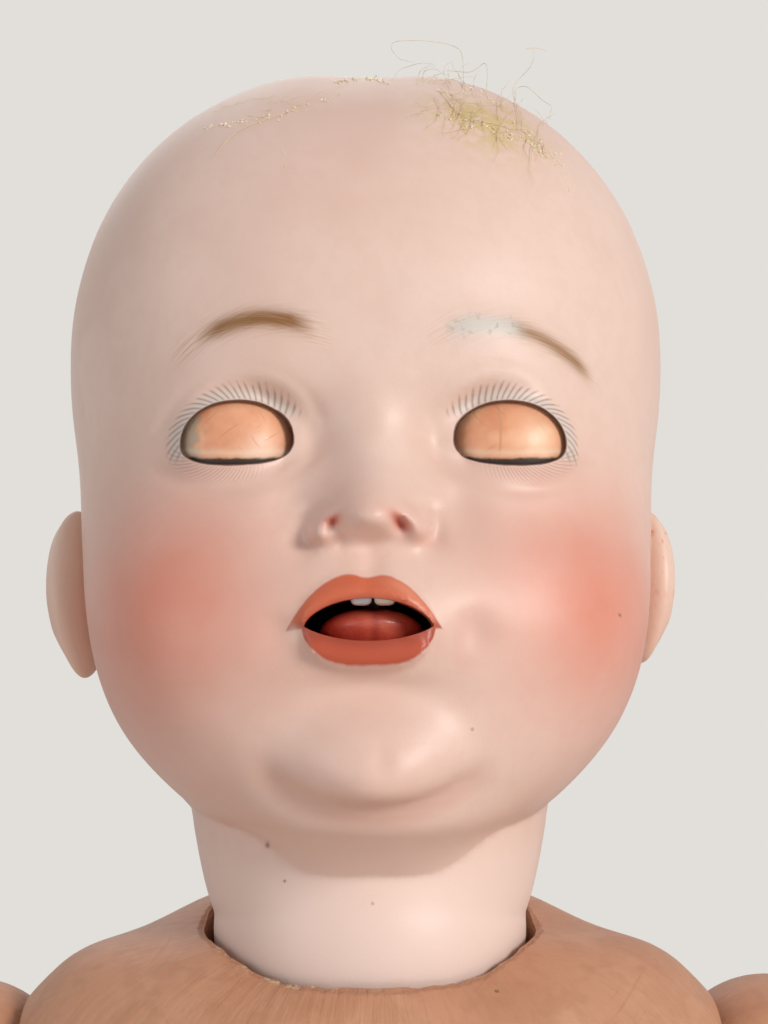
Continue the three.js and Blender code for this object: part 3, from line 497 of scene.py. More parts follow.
# Rounded forms seen from one centre
def profile(shares, reach, height, centre):
    """Distance from the centre over the elevation, smooth through an outline's points."""
    out, up = np.array(shares, float).T
    rise = up * height - centre
    angle = np.arctan2(rise, out * reach)
    distance = np.hypot(rise, out * reach)
    order = np.argsort(angle)
    angle, distance = angle[order], distance[order]
    slope = np.zeros_like(distance)
    slope[1:-1] = (distance[2:] - distance[:-2]) / (angle[2:] - angle[:-2])

    def at(elevation):
        i = np.clip(np.searchsorted(angle, elevation) - 1, 0, len(angle) - 2)
        span = angle[i + 1] - angle[i]
        t = (elevation - angle[i]) / span
        return eased(t, distance[i], distance[i + 1], span * slope[i], span * slope[i + 1])

    return at


def rounded_form(front, back, side, squareness):
    def reach(rays):
        elevation = np.arcsin(np.clip(rays[:, 2], -1, 1))
        level = np.maximum(np.hypot(rays[:, 0], rays[:, 1]), 1e-9)
        ahead = np.where(level > 1e-6, -rays[:, 1] / level, 1)
        aside = np.abs(rays[:, 0]) / level
        lengthwise = np.where(ahead > 0, front(elevation), back(elevation))
        part = (np.abs(ahead) / lengthwise) ** squareness + (aside / side(elevation)) ** squareness
        return part ** (-1 / squareness)

    return reach


def ray_body(centre, reach, columns, rows, warp=None):
    """Closed body whose points lie at a distance along each ray from a centre."""
    bm = ball(1, (0, 0, 0), columns, rows)
    rays = unit(points_of(bm))
    if warp:
        rays = warp(rays)
    move_points(bm, centre + rays * reach(rays)[:, None])
    return bm


plain_head = rounded_form(
    profile(face_profile_shares, face_reach, head_height, ray_centre[2]),
    profile(nape_profile_shares, nape_reach, head_height, ray_centre[2]),
    profile(temple_profile_shares, head_half_width, head_height, ray_centre[2]),
    head_squareness_share,
)


def swelling(points, aside, back, up, wide, deep, above, below, rise):
    lift = points[:, 2] - up
    tall = lift / np.where(lift > 0, above, below)
    return rise * np.exp(-((points[:, 0] - aside) / wide) ** 2 - ((points[:, 1] - back) / deep) ** 2 - tall**2)


def face_rise(points):
    """How far the modelled face stands out from the plain head."""
    total = np.zeros(len(points))
    for aside, forward, up, wide, *rest in face_forms.values():
        for side in ((1, -1) if aside > 3 else (1,)):
            total += swelling(points, side * aside, -forward, up, wide, form_depth, *rest)
    return total


def fine_rise(points):
    """Smaller forms, measured on the modelled face itself."""
    total = np.zeros(len(points))
    for aside, forward, up, wide, *rest in fine_forms:
        total += swelling(points, aside, -forward, up, wide, form_depth, *rest)
    return total + lip_rise(points) + chin_fold(points) + eye_folds(points)


def lip_rise(points):
    x, up = points[:, 0], points[:, 2]
    top, opening_top, opening_bottom, bottom = mouth_lines(x)

    def roll(low, high, least, most):
        half = np.maximum((high - low) / 2, 0.4)
        share = np.clip((up - (low + high) / 2) / half, least, most)
        return np.clip(1 - share**2 / 1.7, 0, 1) ** 1.5

    upper = 2.1 * roll(opening_top, top, -1, 9) * np.clip((top - opening_top) / 4.5, 0.1, 1)
    lower = 2.6 * roll(bottom, opening_bottom, -9, 1) * np.clip((opening_bottom - bottom) / 3.8, 0.1, 1)
    upper = upper * step(up - opening_bottom, -1.5, -0.5)
    lower = lower * (1 - step(up - opening_top, 0.5, 1.5))
    return np.maximum(upper, lower) * step(16.5 - np.abs(x - mouth_aside), 0, 6) * (points[:, 1] < -face_front)


def chin_fold(points):
    x, up = points[:, 0], points[:, 2]
    low = bell((np.hypot((x + 0.6) / 21.5, (up - 30.5) / 12.6) - 1) / 0.15) * np.clip((30.5 - up) / 7, 0, 1)
    high = bell((np.hypot((x - 0.4) / 19, (up - 28) / 11.5) - 1) / 0.36) * step(up, 26, 33)
    return -(1.9 * low + 1.0 * high) * (points[:, 1] < -30)


def eye_folds(points):
    """Soft fold under each eye and over the lid."""
    aside, up = np.abs(points[:, 0]), points[:, 2]
    distance = rim_distance(aside, up)
    under = step(rim_corner_up - up, 1, 5) * bell((distance - 5.2) / 1.6)
    over = step(up - rim_corner_up, 2, 6) * bell((distance - 5.6) / 1.5)
    return -(0.55 * under + 0.5 * over) * (points[:, 1] < -45)


def head_reach(rays):
    distance = plain_head(rays)
    distance = distance + face_rise(ray_centre + rays * distance[:, None])
    points = ray_centre + rays * distance[:, None]
    distance = distance + fine_rise(points) + fuller_side * step(-points[:, 0], 20, 62)
    return eye_bowls(rays, distance)


def eye_bowls(rays, distance):
    """Brings the skin down to the eyes' lids round each opening."""
    points = ray_centre + rays * distance[:, None]
    share = 1 - step(rim_distance(np.abs(points[:, 0]), points[:, 2]), 0.2, 5.5)
    share = share * (points[:, 1] < -face_front)
    for side in (1, -1):
        way = np.array(eye_place[side]) - ray_centre
        middle = rays @ way
        half = np.sqrt(np.maximum(middle**2 - way @ way + eye_rim_radius**2, inner_corner_reach**2))
        near_side = share * (points[:, 0] * side > 0)
        distance = distance * (1 - near_side) + (middle + half) * near_side
    return distance


def toward_face(rays):
    """Crowds the rays on the face, where the small forms are."""
    around = from_front(rays)
    up = np.arcsin(np.clip(rays[:, 2], -1, 1))
    turned = around - 0.72 * np.sin(around)
    raised = up - 0.55 * np.sin(up + math.radians(22)) * np.cos(up)
    flat = np.cos(raised)
    return np.stack([flat * np.sin(turned), -flat * np.cos(turned), np.sin(raised)], 1)


def head_hollow(depth):
    """Room inside the head, kept clear of the deepest folds of the skin."""
    return ray_body(ray_centre, lambda rays: np.minimum(plain_head(rays), head_reach(rays) + 2) - depth, 144, 96)


def neck_body():
    """Ball below, then a flare into the jaw that starts higher at the nape."""
    bm = ball(1, (0, 0, 0), 128, 96)
    places = points_of(bm)
    around = from_front(places)
    share = down_share(places)
    lid_share = 0.15
    up = neck_flare_height * np.clip((0.5 - share) / (0.5 - lid_share), 0, 1)
    out = neck_reach(up, around) * np.where(share < lid_share, share / lid_share, 1)
    below = share > 0.5
    out = np.where(below, neck_ball_radius * np.sin(share * math.pi), out)
    up = np.where(below, neck_ball_radius * np.cos(share * math.pi), up)
    move_points(bm, np.stack([out * np.sin(around), -out * np.cos(around), up], 1))
    return bm


def neck_reach(up, around):
    """Neck radius over the height; the flare is rounder at the sides and slight at the nape."""
    nape = ((1 - np.cos(around)) / 2) ** 2
    sideways = np.sin(around) ** 2
    start = nape_groove_height * nape
    at_start = np.sqrt(neck_ball_radius**2 - start**2)
    low = np.sqrt(np.maximum(neck_ball_radius**2 - up**2, 0))
    share = np.clip((up - start) / (neck_flare_height - start), 0, 1)
    soft = 0.35 - 0.27 * sideways
    flare = (np.sqrt(share**2 + soft**2) - soft) / (np.sqrt(1 + soft**2) - soft)
    return np.where(up <= start, low, at_start + neck_flare * (1 - 0.7 * nape) * flare ** (1 - 0.35 * sideways))


# Ears
ear_height = {1: 36, -1: 39}
ear_depth = 22
ear_thickness = 9
ear_root = {1: Vector((64, -5, 77)), -1: Vector((66.5, -6, 75))}
ear_swing = {1: math.radians(22), -1: math.radians(30)}


def ear_body(side):
    """Ear with a rolled rim, a hollow shell and a plain lobe."""
    bm = ball(1, (0, 0, 0), 72, 56)
    # The ball's poles lie across the ear, so that its rows run round the rim
    bm.transform(quarter_turn("Y"))
    places = points_of(bm)
    thick, back, tall = places[:, 0], places[:, 1], places[:, 2]
    across = np.hypot(back, tall)
    angle = np.arctan2(tall, back)
    lobe = np.clip((-tall - 0.45) / 0.4, 0, 1)
    outer = thick > 0
    relief = 0.5 * bell((across - 0.86) / 0.1) - 0.75 * bell((across - 0.66) / 0.1)
    relief = relief + 0.2 * bell((across - 0.48) / 0.1) * (np.cos(angle) > -0.2)
    relief = relief - bell(np.hypot(back + 0.2, tall + 0.02) / 0.33)
    relief = relief * (1 - lobe)
    narrow = 1 - 0.25 * np.clip(-tall, 0, 1) ** 1.5
    x = np.where(outer, thick * 0.75 + relief * np.clip(1 - across**6, 0, 1), thick)
    places = np.stack([side * x * ear_thickness / 2, back * narrow * ear_depth / 2, tall * ear_height[side] / 2], 1)
    move_points(bm, places)
    if side < 0:
        bmesh.ops.reverse_faces(bm, faces=bm.faces)
    turn = Matrix.Rotation(side * ear_swing[side], 4, "Z")
    root = Vector((side * ear_root[side].x, ear_root[side].y, ear_root[side].z))
    bm.transform(Matrix.Translation(root) @ turn @ Matrix.Rotation(math.radians(6), 4, "X"))
    return bm


def soften_seam(bm, near, rounds):
    """Smooths the points where two bodies of the head meet."""
    verts = [vert for vert, chosen in zip(bm.verts, near) if chosen]
    for _ in range(rounds):
        bmesh.ops.smooth_vert(bm, verts=verts, factor=0.5, use_axis_x=True, use_axis_y=True, use_axis_z=True)


def off_head(points):
    """Distance of points from the head's skin, along their rays."""
    rays = points - ray_centre
    return np.linalg.norm(rays, axis=1) - head_reach(unit(rays))


def off_neck(points):
    up = np.clip(points[:, 2], -neck_ball_radius, neck_flare_height)
    return np.hypot(points[:, 0], points[:, 1]) - neck_reach(up, from_front(points))


def eye_outline(side):
    """Points of an eye opening's outline."""
    outline = []
    for angle in np.linspace(0, 2 * math.pi, 96, endpoint=False):
        out, rise = math.cos(angle), math.sin(angle)
        reach = 1 / rim_share(out, rise)
        outline.append((side * (rim_aside + out * reach), rim_corner_up + (rise - out * rim_lean) * reach))
    return outline


def mouth_outline(lift):
    """Points of the mouth opening's outline, raised by a lift."""
    outline = []
    for angle in np.linspace(0, 2 * math.pi, 96, endpoint=False):
        x = mouth_aside + mouth_half_width * math.cos(angle)
        outline.append((x, mouth_lines(x)[1 if math.sin(angle) > 0 else 2] + lift))
    return outline


def head_body():
    skin = ray_body(ray_centre, head_reach, 248, 190, toward_face)
    bm = joined(skin, [neck_body(), ear_body(1), ear_body(-1)], "UNION")
    points = points_of(bm)
    near_head = np.abs(off_head(points))
    near_neck = np.abs(off_neck(points))
    jaw = (np.maximum(near_head, near_neck) < 2.5) & (points[:, 2] < neck_flare_height + 6)
    ears = (near_head < 1.2) & (np.abs(points[:, 0]) > 58) & (np.abs(points[:, 2] - 75) < 22)
    ears = ears & (points[:, 1] > -22) & (points[:, 1] < 16)
    soften_seam(bm, jaw, 5)
    soften_seam(bm, ears, 3)
    bore = neck_ball_radius - neck_wall
    cuts = [
        head_hollow(head_wall),
        ball(bore, (0, 0, 0), 48, 32),
        rod(bore, (0, 0, 0), (0, 0, neck_flare_height), 48),
        rod(neck_hole_radius, (0, 0, -neck_ball_radius - 60), (0, 0, 0), 48),
        beyond(crown_front, crown_normal),
        prism(mouth_outline((mouth_front - mouth_back) * mouth_slope), -mouth_back, -cut_front,
              (mouth_back - cut_front) * mouth_slope),
        tooth_pocket(),
    ]
    for side in (1, -1):
        cuts.append(ball(eye_socket_radius, eye_place[side], 64, 48))
        cuts.append(prism(eye_outline(side), -50, -cut_front))
    return joined(bm, cuts, "DIFFERENCE")


def tooth_pocket():
    size = (2 * (tooth_aside + tooth_half.x + seat_gap), 2 * (tooth_half.y + seat_gap), 2 * tooth_half.z + 3)
    return block(size, (tooth_shift, -tooth_forward, tooth_up - 1.2))


def pate_body():
    """Board dome over the crown opening, a little uneven."""
    bm = ray_body(ray_centre, pate_reach, 160, 110)
    bm = joined(bm, [beyond(crown_front + crown_normal * seat_gap, crown_normal)], "INTERSECT")
    return joined(bm, [head_hollow(pate_depth)], "DIFFERENCE")


def pate_reach(rays):
    waves = np.sin(rays[:, 0] * 31 + 2 * np.sin(rays[:, 1] * 17)) * np.sin(rays[:, 1] * 27 + rays[:, 0] * 9)
    return plain_head(rays) - 0.25 + 0.22 * waves


# Eyes and lids
open_angle = math.radians(75)
lid_below = math.radians(44)
lid_above = math.radians(110)
arm_rise_shut = math.radians(10)
bridge_socket_radius = 2.0


def eye_ball(side):
    """Glass eye with a low clear bulge over the iris."""
    bm = ball(eye_radius, (0, 0, 0), 72, 56)
    bm.transform(quarter_turn("X"))
    places = points_of(bm)
    forward = -places[:, 1] / eye_radius
    bulge = 1 + 0.018 * step(forward, 0.83, 0.97)
    move_points(bm, places * bulge[:, None])
    bm.transform(Matrix.Rotation(open_angle, 4, "X"))
    bmesh.ops.translate(bm, verts=bm.verts, vec=eye_place[side])
    bridge = middle_of("eye_bridge", head_frame)
    socket = rod(bridge_socket_radius, (side * 7, bridge.y, bridge.z), (side * 60, bridge.y, bridge.z), 24)
    return joined(bm, [socket], "DIFFERENCE")


def lid_body(side):
    """Wax coat over the upper part of a glass eye."""
    shell = joined(ball(lid_outer, (0, 0, 0), 96, 72), [ball(lid_inner, (0, 0, 0), 72, 56)], "DIFFERENCE")
    low_normal = (0, math.sin(lid_below), -math.cos(lid_below))
    high_normal = (0, math.sin(lid_above), math.cos(lid_above))
    shell = joined(shell, [beyond((0, 0, 0), low_normal), beyond((0, 0, 0), high_normal)], "DIFFERENCE")
    shell.transform(Matrix.Translation(eye_place[side]) @ Matrix.Rotation(arm_rise_shut, 4, "X"))
    return shell


# Teeth and tongue
def tooth_body(side):
    """Egg drawn towards a rounded block; a lower bluntness is squarer."""
    bluntness = 0.62
    middle = tooth_shift + side * tooth_aside
    bm = ball(1, (0, 0, 0), 32, 24)
    places = points_of(bm)
    places = np.sign(places) * np.abs(places) ** bluntness
    move_points(bm, np.array((middle, -tooth_forward, tooth_up)) + places * np.array(tooth_half))
    for vert in bm.verts:
        drop = max(0, tooth_up - vert.co.z) / tooth_half.z
        vert.co.x = middle + (vert.co.x - middle) * (1 - 0.1 * (1 - drop))
    return bm


def tongue_body():
    bm = ball(1, (0, 0, 0), 64, 48)
    places = points_of(bm)
    top = places[:, 2] > 0
    groove = 0.16 * bell(places[:, 0] / 0.16) * np.clip(1 - (places[:, 1] + 0.2) ** 2, 0, 1)
    places[:, 2] = np.where(top, places[:, 2] - groove * places[:, 2], places[:, 2])
    move_points(bm, places * np.array(tongue_radii))
    bm.transform(Matrix.Translation(tongue_place) @ Matrix.Rotation(-tongue_pitch, 4, "X"))
    spring_back = tongue_place.y + tongue_radii.y / 2
    slot = block((4.6, 1.4, 20), (0, spring_back + 0.4, tongue_place.z + 9.7))
    return joined(bm, [slot], "DIFFERENCE")


# Body shell, measured from the floor under the neck ball
neck_height = neck_ball.z / MM
torso_half_width = 77
torso_half_depth = 64
torso_wall = 5
shoulder_face = 76
shoulder_height = neck_height - neck_ball_radius - 1
hip_face_x = 53.4
hip_slope = math.radians(14)
thigh_radius = 31
thigh_ball_out = 20
string_hole_radius = 9
cup_radius = 37
cup_wall = 4
cup_hole_radius = 26
cup_clearance = 0.2
cup_mouth_radius = 40
cup_mouth_height = 14
shell_grain = 1.7
arm_grain = 0.9
leg_grain = 1.15
liner_outer = 36.7
liner_inner = 35.3
liner_drop = 6
torso_centre = np.array([0, 0, neck_height * 0.47])
hip_normal = Vector((math.cos(hip_slope), 0, -math.sin(hip_slope)))
hip_face = Vector((hip_face_x, 0, thigh_radius + thigh_ball_out * math.sin(hip_slope)))
shoulder_point = Vector((shoulder_face, 0, shoulder_height))
outward = Vector((1, 0, 0))
flank_profile_shares = [
    (0, 1.015), (0.45, 0.985), (0.65, 0.964), (0.86, 0.936), (1.02, 0.9), (1.05, 0.84), (1, 0.76),
    (0.9, 0.62), (0.89, 0.49), (0.91, 0.38), (0.88, 0.27), (0.78, 0.13), (0.57, 0.044), (0.26, -0.018), (0, -0.027),
]
belly_profile_shares = [
    (0, 1.015), (0.5, 0.983), (0.64, 0.957), (0.79, 0.89), (0.87, 0.78), (0.86, 0.67), (0.91, 0.53),
    (1, 0.4), (1, 0.29), (0.91, 0.155), (0.69, 0.044), (0.34, -0.018), (0, -0.027),
]
spine_profile_shares = [
    (0, 1.003), (0.53, 0.992), (0.67, 0.97), (0.8, 0.91), (0.87, 0.8), (0.81, 0.67), (0.75, 0.53),
    (0.78, 0.4), (0.87, 0.27), (0.87, 0.155), (0.72, 0.053), (0.34, -0.013), (0, -0.027),
]
plain_torso = rounded_form(
    profile(belly_profile_shares, torso_half_depth, neck_height, torso_centre[2]),
    profile(spine_profile_shares, torso_half_depth, neck_height, torso_centre[2]),
    profile(flank_profile_shares, torso_half_width, neck_height, torso_centre[2]),
    2.3,
)

# Body forms: aside, toward the back, up, wide, deep, tall and rise
body_forms = [
    (0, -64, 92, 3.2, 20, 2.8, -3.2),
    (0, -62, 90, 8, 20, 7, 0.9),
    (26, -52, 168, 16, 20, 11, 1.6),
    (25, -52, 154, 20, 20, 3.5, -1.1),
    (0, 52, 150, 6, 20, 44, -1.8),
    (30, 50, 168, 13, 20, 17, 1.5),
    (0, 52, 24, 3.6, 26, 24, -5.0),
    (22, 54, 34, 17, 24, 20, 3.2),
    (0, -60, 62, 44, 30, 4, -1.3),
    (0, -56, 190, 5, 16, 10, -0.8),
    (0, -42, 219, 12, 14, 12, 2.2),
    (23, -27, 220, 12, 12, 12, -4.6),
    (34, 16, 222, 20, 22, 12, 3.6),
    (60, -6, 216, 20, 22, 18, 8.6),
]


def torso_reach(rays):
    distance = plain_torso(rays)
    points = torso_centre + rays * distance[:, None]
    total = np.zeros(len(points))
    for aside, back, up, wide, deep, tall, rise in body_forms:
        for side in ((1, -1) if aside else (1,)):
            total += swelling(points, side * aside, back, up, wide, deep, tall, tall, rise)
    return distance + total


def body_outside():
    return ray_body(torso_centre, torso_reach, 160, 120)


def body_shell():
    """Hollow shell with a cup for the neck and flat faces for the limbs."""
    neck = Vector((0, 0, neck_height))
    floor_side = Vector((0, 0, -1))
    openings = []
    for side in (1, -1):
        openings.append((Vector((side * shoulder_face, 0, shoulder_height)), Vector((side, 0, 0))))
        openings.append((Vector((side * hip_face.x, 0, hip_face.z)), Vector((side * hip_normal.x, 0, hip_normal.z))))
    inside = ray_body(torso_centre, lambda rays: plain_torso(rays) - torso_wall, 48, 32)
    walls = [beyond(place - normal * torso_wall, normal) for place, normal in openings]
    inside = joined(inside, [beyond((0, 0, torso_wall), floor_side), *walls], "DIFFERENCE")
    shell = joined(body_outside(), [inside], "DIFFERENCE")
    cup = joined(ball(cup_radius + cup_wall, neck, 64, 48), [body_outside()], "INTERSECT")
    shell = joined(shell, [cup], "UNION")
    cuts = [ball(cup_radius - 1.2, neck, 96, 72), rod(cup_hole_radius, torso_centre, neck, 48)]
    shell = moulded(joined(shell, cuts, "DIFFERENCE"), shell_grain, 3)
    clear_radius = cup_radius + cup_clearance
    mouth_top = neck + Vector((0, 0, cup_mouth_height))
    cuts = [
        beyond((0, 0, 0), floor_side),
        ball(clear_radius, neck, 160, 120),
        rod(clear_radius, neck, mouth_top, 160, cup_mouth_radius),
    ]
    for place, normal in openings:
        cuts += [beyond(place, normal), rod(string_hole_radius, place - normal * 24, place + normal * 9)]
    return joined(shell, cuts, "DIFFERENCE")


# Limbs, drawn for the left side
shoulder_ball_radius = 24
shoulder_ball_out = 14.5
elbow_radius = 18
wrist_radius = 12.5
upper_arm_length = 70
forearm_length = 62
palm_length = 30
palm_width = 26
palm_thickness = 15
finger_radius = 3.7
finger_length = 13
knee_radius = 25
ankle_radius = 15
thigh_length = 88
shin_length = 68
foot_length = 46
foot_width = 31
foot_height = 25
toe_radius = 5
plug_radius = 10
plug_length = 8
shoulder_centre = shoulder_point + outward * shoulder_ball_out
elbow = shoulder_centre + Vector((0.12, -0.55, -0.83)).normalized() * upper_arm_length
wrist = elbow + Vector((-0.02, -0.96, 0.26)).normalized() * forearm_length
palm_direction = Vector((-0.12, -0.98, 0.1)).normalized()
hip_centre = hip_face + hip_normal * thigh_ball_out
knee = hip_centre + Vector((0.22, -0.975, 0)).normalized() * thigh_length
ankle = knee + Vector((-0.4, -0.9, -0.17)).normalized() * shin_length
foot_direction = Vector((-0.25, -0.5, 0.83)).normalized()


def facing(direction):
    """Turn that points Y along a direction and keeps X near the X axis."""
    across = (outward - direction * direction.x).normalized()
    over = across.cross(direction)
    return Matrix((across, direction, over)).transposed()


def along(points, share):
    """Place on a smooth line through points, for shares from 0 to 1."""
    knots = np.array(points, float)
    at = np.clip(share, 0, 1) * (len(knots) - 1)
    low = np.minimum(at.astype(int), len(knots) - 2)
    t = (at - low)[:, None]
    before = knots[np.maximum(low - 1, 0)]
    after = knots[np.minimum(low + 2, len(knots) - 1)]
    start, end = knots[low], knots[low + 1]
    return eased(t, start, end, (end - before) / 2, (after - start) / 2)


def limb(points, radii, folds):
    """Limb that swells and tapers along its bones, with creases, and is round at both ends."""
    rows = 110
    bm = ball(1, (0, 0, 0), 72, rows)
    places = points_of(bm)
    cap = rows * 3 // 14
    row = np.round(down_share(places) * rows)
    share = np.clip((row - cap) / (rows - 2 * cap), 0, 1)
    tangent = unit(along(points, share + 0.004) - along(points, share - 0.004))
    across = unit(np.array([1, 0, 0]) - tangent * tangent[:, :1])
    other = np.cross(tangent, across)
    at = share * (len(radii) - 1)
    low = np.minimum(at.astype(int), len(radii) - 2)
    blend = at - low
    blend = blend**2 * (3 - 2 * blend)
    sizes = np.array(radii, float)
    radius = sizes[low] * (1 - blend) + sizes[low + 1] * blend
    flat, cos, sin = round_part(places)
    for where, width, depth, toward in folds:
        face = np.clip(0.5 + 0.5 * (cos * math.cos(toward) + sin * math.sin(toward)), 0, 1)
        radius = radius - depth * bell((share - where) / width) * face
    into = np.where(row < cap, cap - row, np.maximum(row - rows + cap, 0)) / cap * math.pi / 2
    forward = np.where(row < cap, -1, 1) * radius * np.sin(into)
    wide = (radius * np.cos(into))[:, None]
    spine = along(points, share) + tangent * forward[:, None]
    move_points(bm, spine + across * wide * cos[:, None] + other * wide * sin[:, None])
    bmesh.ops.recalc_face_normals(bm, faces=bm.faces)
    return bm


def finger(start, direction, curl, radius, length):
    """Chain of small balls that bends as a finger does."""
    parts = []
    place = Vector(start)
    heading = Vector(direction).normalized()
    steps = 9
    for i in range(steps):
        share = i / (steps - 1)
        knuckle = 1 + 0.07 * math.cos(share * 4 * math.pi)
        parts.append(ball(radius * knuckle * (1.04 - 0.16 * share), place, 20, 14))
        heading = (heading + Vector(curl) / steps).normalized()
        place = place + heading * length / (steps - 1)
    return parts


def arm_body():
    between = shoulder_centre.lerp(elbow, 0.5)
    forearm_middle = elbow.lerp(wrist, 0.45)
    radii = [shoulder_ball_radius, 22.2, elbow_radius - 0.4, 16.6, wrist_radius - 0.6]
    folds = [(0.5, 0.018, 2.6, 1.2), (0.93, 0.016, 1.6, 0), (0.93, 0.016, 1.2, math.pi)]
    parts = [limb([shoulder_centre, between, elbow, forearm_middle, wrist], radii, folds)]
    turn = facing(palm_direction)
    palm_centre = wrist + palm_direction * palm_length / 2
    parts.append(egg((palm_thickness / 2, palm_length * 0.6, palm_width / 2), turn, palm_centre))
    down = Vector((0, 0, -1))
    knuckles = wrist + palm_direction * palm_length * 0.85
    for i in range(4):
        spread = i - 1.5
        start = knuckles + down * spread * finger_radius * 1.7
        reach = palm_direction + down * spread * 0.12 + Vector((-0.15, 0, 0))
        length = finger_length * (1.08 - 0.07 * abs(i - 1.2))
        parts += finger(start, reach, (-0.75, 0.1, 0), finger_radius, length)
    thumb = wrist + palm_direction * palm_length * 0.4 - down * palm_width * 0.35
    parts += finger(thumb, (-0.5, -0.6, 0.6), (-0.1, -0.5, -0.1), finger_radius * 1.05, finger_length)
    return limb_cut(moulded(gathered(parts), arm_grain, 4), shoulder_point, outward)


def leg_body():
    thigh_middle = hip_centre.lerp(knee, 0.5)
    shin_middle = knee.lerp(ankle, 0.45)
    radii = [thigh_radius, thigh_radius - 0.3, knee_radius - 0.5, 23.4, ankle_radius - 0.3]
    folds = [(0.5, 0.02, 3.0, -1.2), (0.27, 0.014, 1.6, -0.6), (0.95, 0.016, 1.8, 0.6)]
    parts = [limb([hip_centre, thigh_middle, knee, shin_middle, ankle], radii, folds)]
    turn = facing(foot_direction)
    foot_centre = ankle + foot_direction * foot_length * 0.2
    parts.append(egg((foot_width / 2, foot_length / 2, foot_height / 2), turn, foot_centre))
    across = turn @ Vector((1, 0, 0))
    for i in range(5):
        ahead = foot_length * (0.45 - 0.035 * abs(i - 1) ** 1.3)
        spot = foot_centre + across * (i - 2) * toe_radius * 1.25 + foot_direction * ahead
        radius = toe_radius * (1.2 if i == 0 else 0.98 - 0.04 * i)
        parts.append(ball(radius, spot, 24, 16))
        parts.append(ball(radius * 0.92, spot - foot_direction * radius * 0.9, 24, 16))
    return limb_cut(moulded(gathered(parts), leg_grain, 4), hip_face, hip_normal)


def limb_cut(bm, face, normal):
    """Flat face towards the body, with the recess for the wooden plug."""
    start = face + normal * seat_gap
    depth = plug_length + 3 * seat_gap
    recess = rod(plug_radius + seat_gap, start - normal, start + normal * depth, 48)
    return joined(bm, [beyond(start, -normal), recess], "DIFFERENCE")


# Strings, liner and other small bodies
loop_radius = 4.5
loop_wire = 1.6
loop_offset = 5.9
knot_radius = 2.2
knot_wire = 1.1
elastic_radius = 1.8


def strand(points, radius, tip, columns, rows):
    """Thin round cord along points, whose far end is a share of its radius."""
    bm = ball(1, (0, 0, 0), columns, rows)
    places = points_of(bm)
    share = down_share(places)
    tangent = unit(along(points, share + 0.01) - along(points, share - 0.01))
    near = np.where(np.abs(tangent[:, :1]) < 0.8, [[1, 0, 0]], [[0, 1, 0]])
    across = unit(near - tangent * np.sum(near * tangent, axis=1)[:, None])
    flat, cos, sin = round_part(places)
    width = radius * np.where(flat > 1e-6, 1 - (1 - tip) * share**3, 0)
    turned = across * (width * cos)[:, None] + np.cross(tangent, across) * (width * sin)[:, None]
    move_points(bm, along(points, share) + turned)
    bmesh.ops.recalc_face_normals(bm, faces=bm.faces)
    return bm


def ring(radius, wire, centre, axis, steps, sides):
    bm = bmesh.new()
    bmesh.ops.create_circle(bm, cap_ends=False, segments=sides, radius=wire)
    bm.transform(Matrix.Translation((radius, 0, 0)) @ quarter_turn("X"))
    bmesh.ops.spin(bm, geom=bm.verts[:] + bm.edges[:], cent=(0, 0, 0), axis=(0, 0, 1), dvec=(0, 0, 0),
                   angle=math.radians(360), steps=steps, use_merge=True, use_duplicate=False)
    bmesh.ops.remove_doubles(bm, verts=bm.verts, dist=0.0001)
    bmesh.ops.recalc_face_normals(bm, faces=bm.faces)
    bm.transform(Matrix.Translation(centre) @ from_upright(axis))
    return bm


def liner_body():
    neck = (0, 0, neck_height)
    bm = joined(ball(liner_outer, neck, 96, 72), [ball(liner_inner, neck, 96, 72)], "DIFFERENCE")
    cuts = [beyond((0, 0, neck_height - liner_drop), (0, 0, 1)), rod(cup_hole_radius, torso_centre, neck, 64)]
    return joined(bm, cuts, "DIFFERENCE")


def elastic_body(eye, toward, bends):
    """Elastic from a hook to its mirror image, with a tied loop on each hook."""
    parts = []
    halves = []
    for side in (1, -1):
        way = Vector((side * toward[0], toward[1], toward[2])).normalized()
        loop = Vector((side * eye[0], eye[1], eye[2])) + way * loop_offset
        knot = loop + way * (loop_radius + loop_wire)
        parts.append(ring(loop_radius, loop_wire, loop, way.cross(Vector((0, 0, 1))).normalized(), 48, 20))
        parts += [ring(knot_radius, knot_wire, knot + way * shift, way, 28, 14) for shift in (0, 1.9)]
        ends = [loop + way * 4.6, knot, knot + way * 4]
        halves.append(ends + [Vector((side * x, y, z)) for x, y, z in bends])
    line = halves[0] + halves[1][::-1]
    parts.append(strand(line, elastic_radius, 1, 20, 220))
    return gathered(parts)


# What the camera of the photograph sees
camera_forward = Vector((-math.sin(camera_turn), math.cos(camera_turn), 0))
camera_right = Vector((math.cos(camera_turn), math.sin(camera_turn), 0))


def photo_ray(across, down):
    """Direction from the camera through a point of the photograph."""
    right = camera_right * (across - photo_axis_x) / photo_focal
    up = Vector((0, 0, (photo_height / 2 - down) / photo_focal))
    return (camera_forward + right + up).normalized()


def in_head(point):
    return head_frame.inverted() @ point


# Looks
def paint(red, green, blue):
    """Colour of a paint, from its 0 to 255 values as the eye reads them."""
    parts = [value / 255 for value in (red, green, blue)]
    return tuple(v / 12.92 if v < 0.04045 else ((v + 0.055) / 1.055) ** 2.4 for v in parts) + (1,)


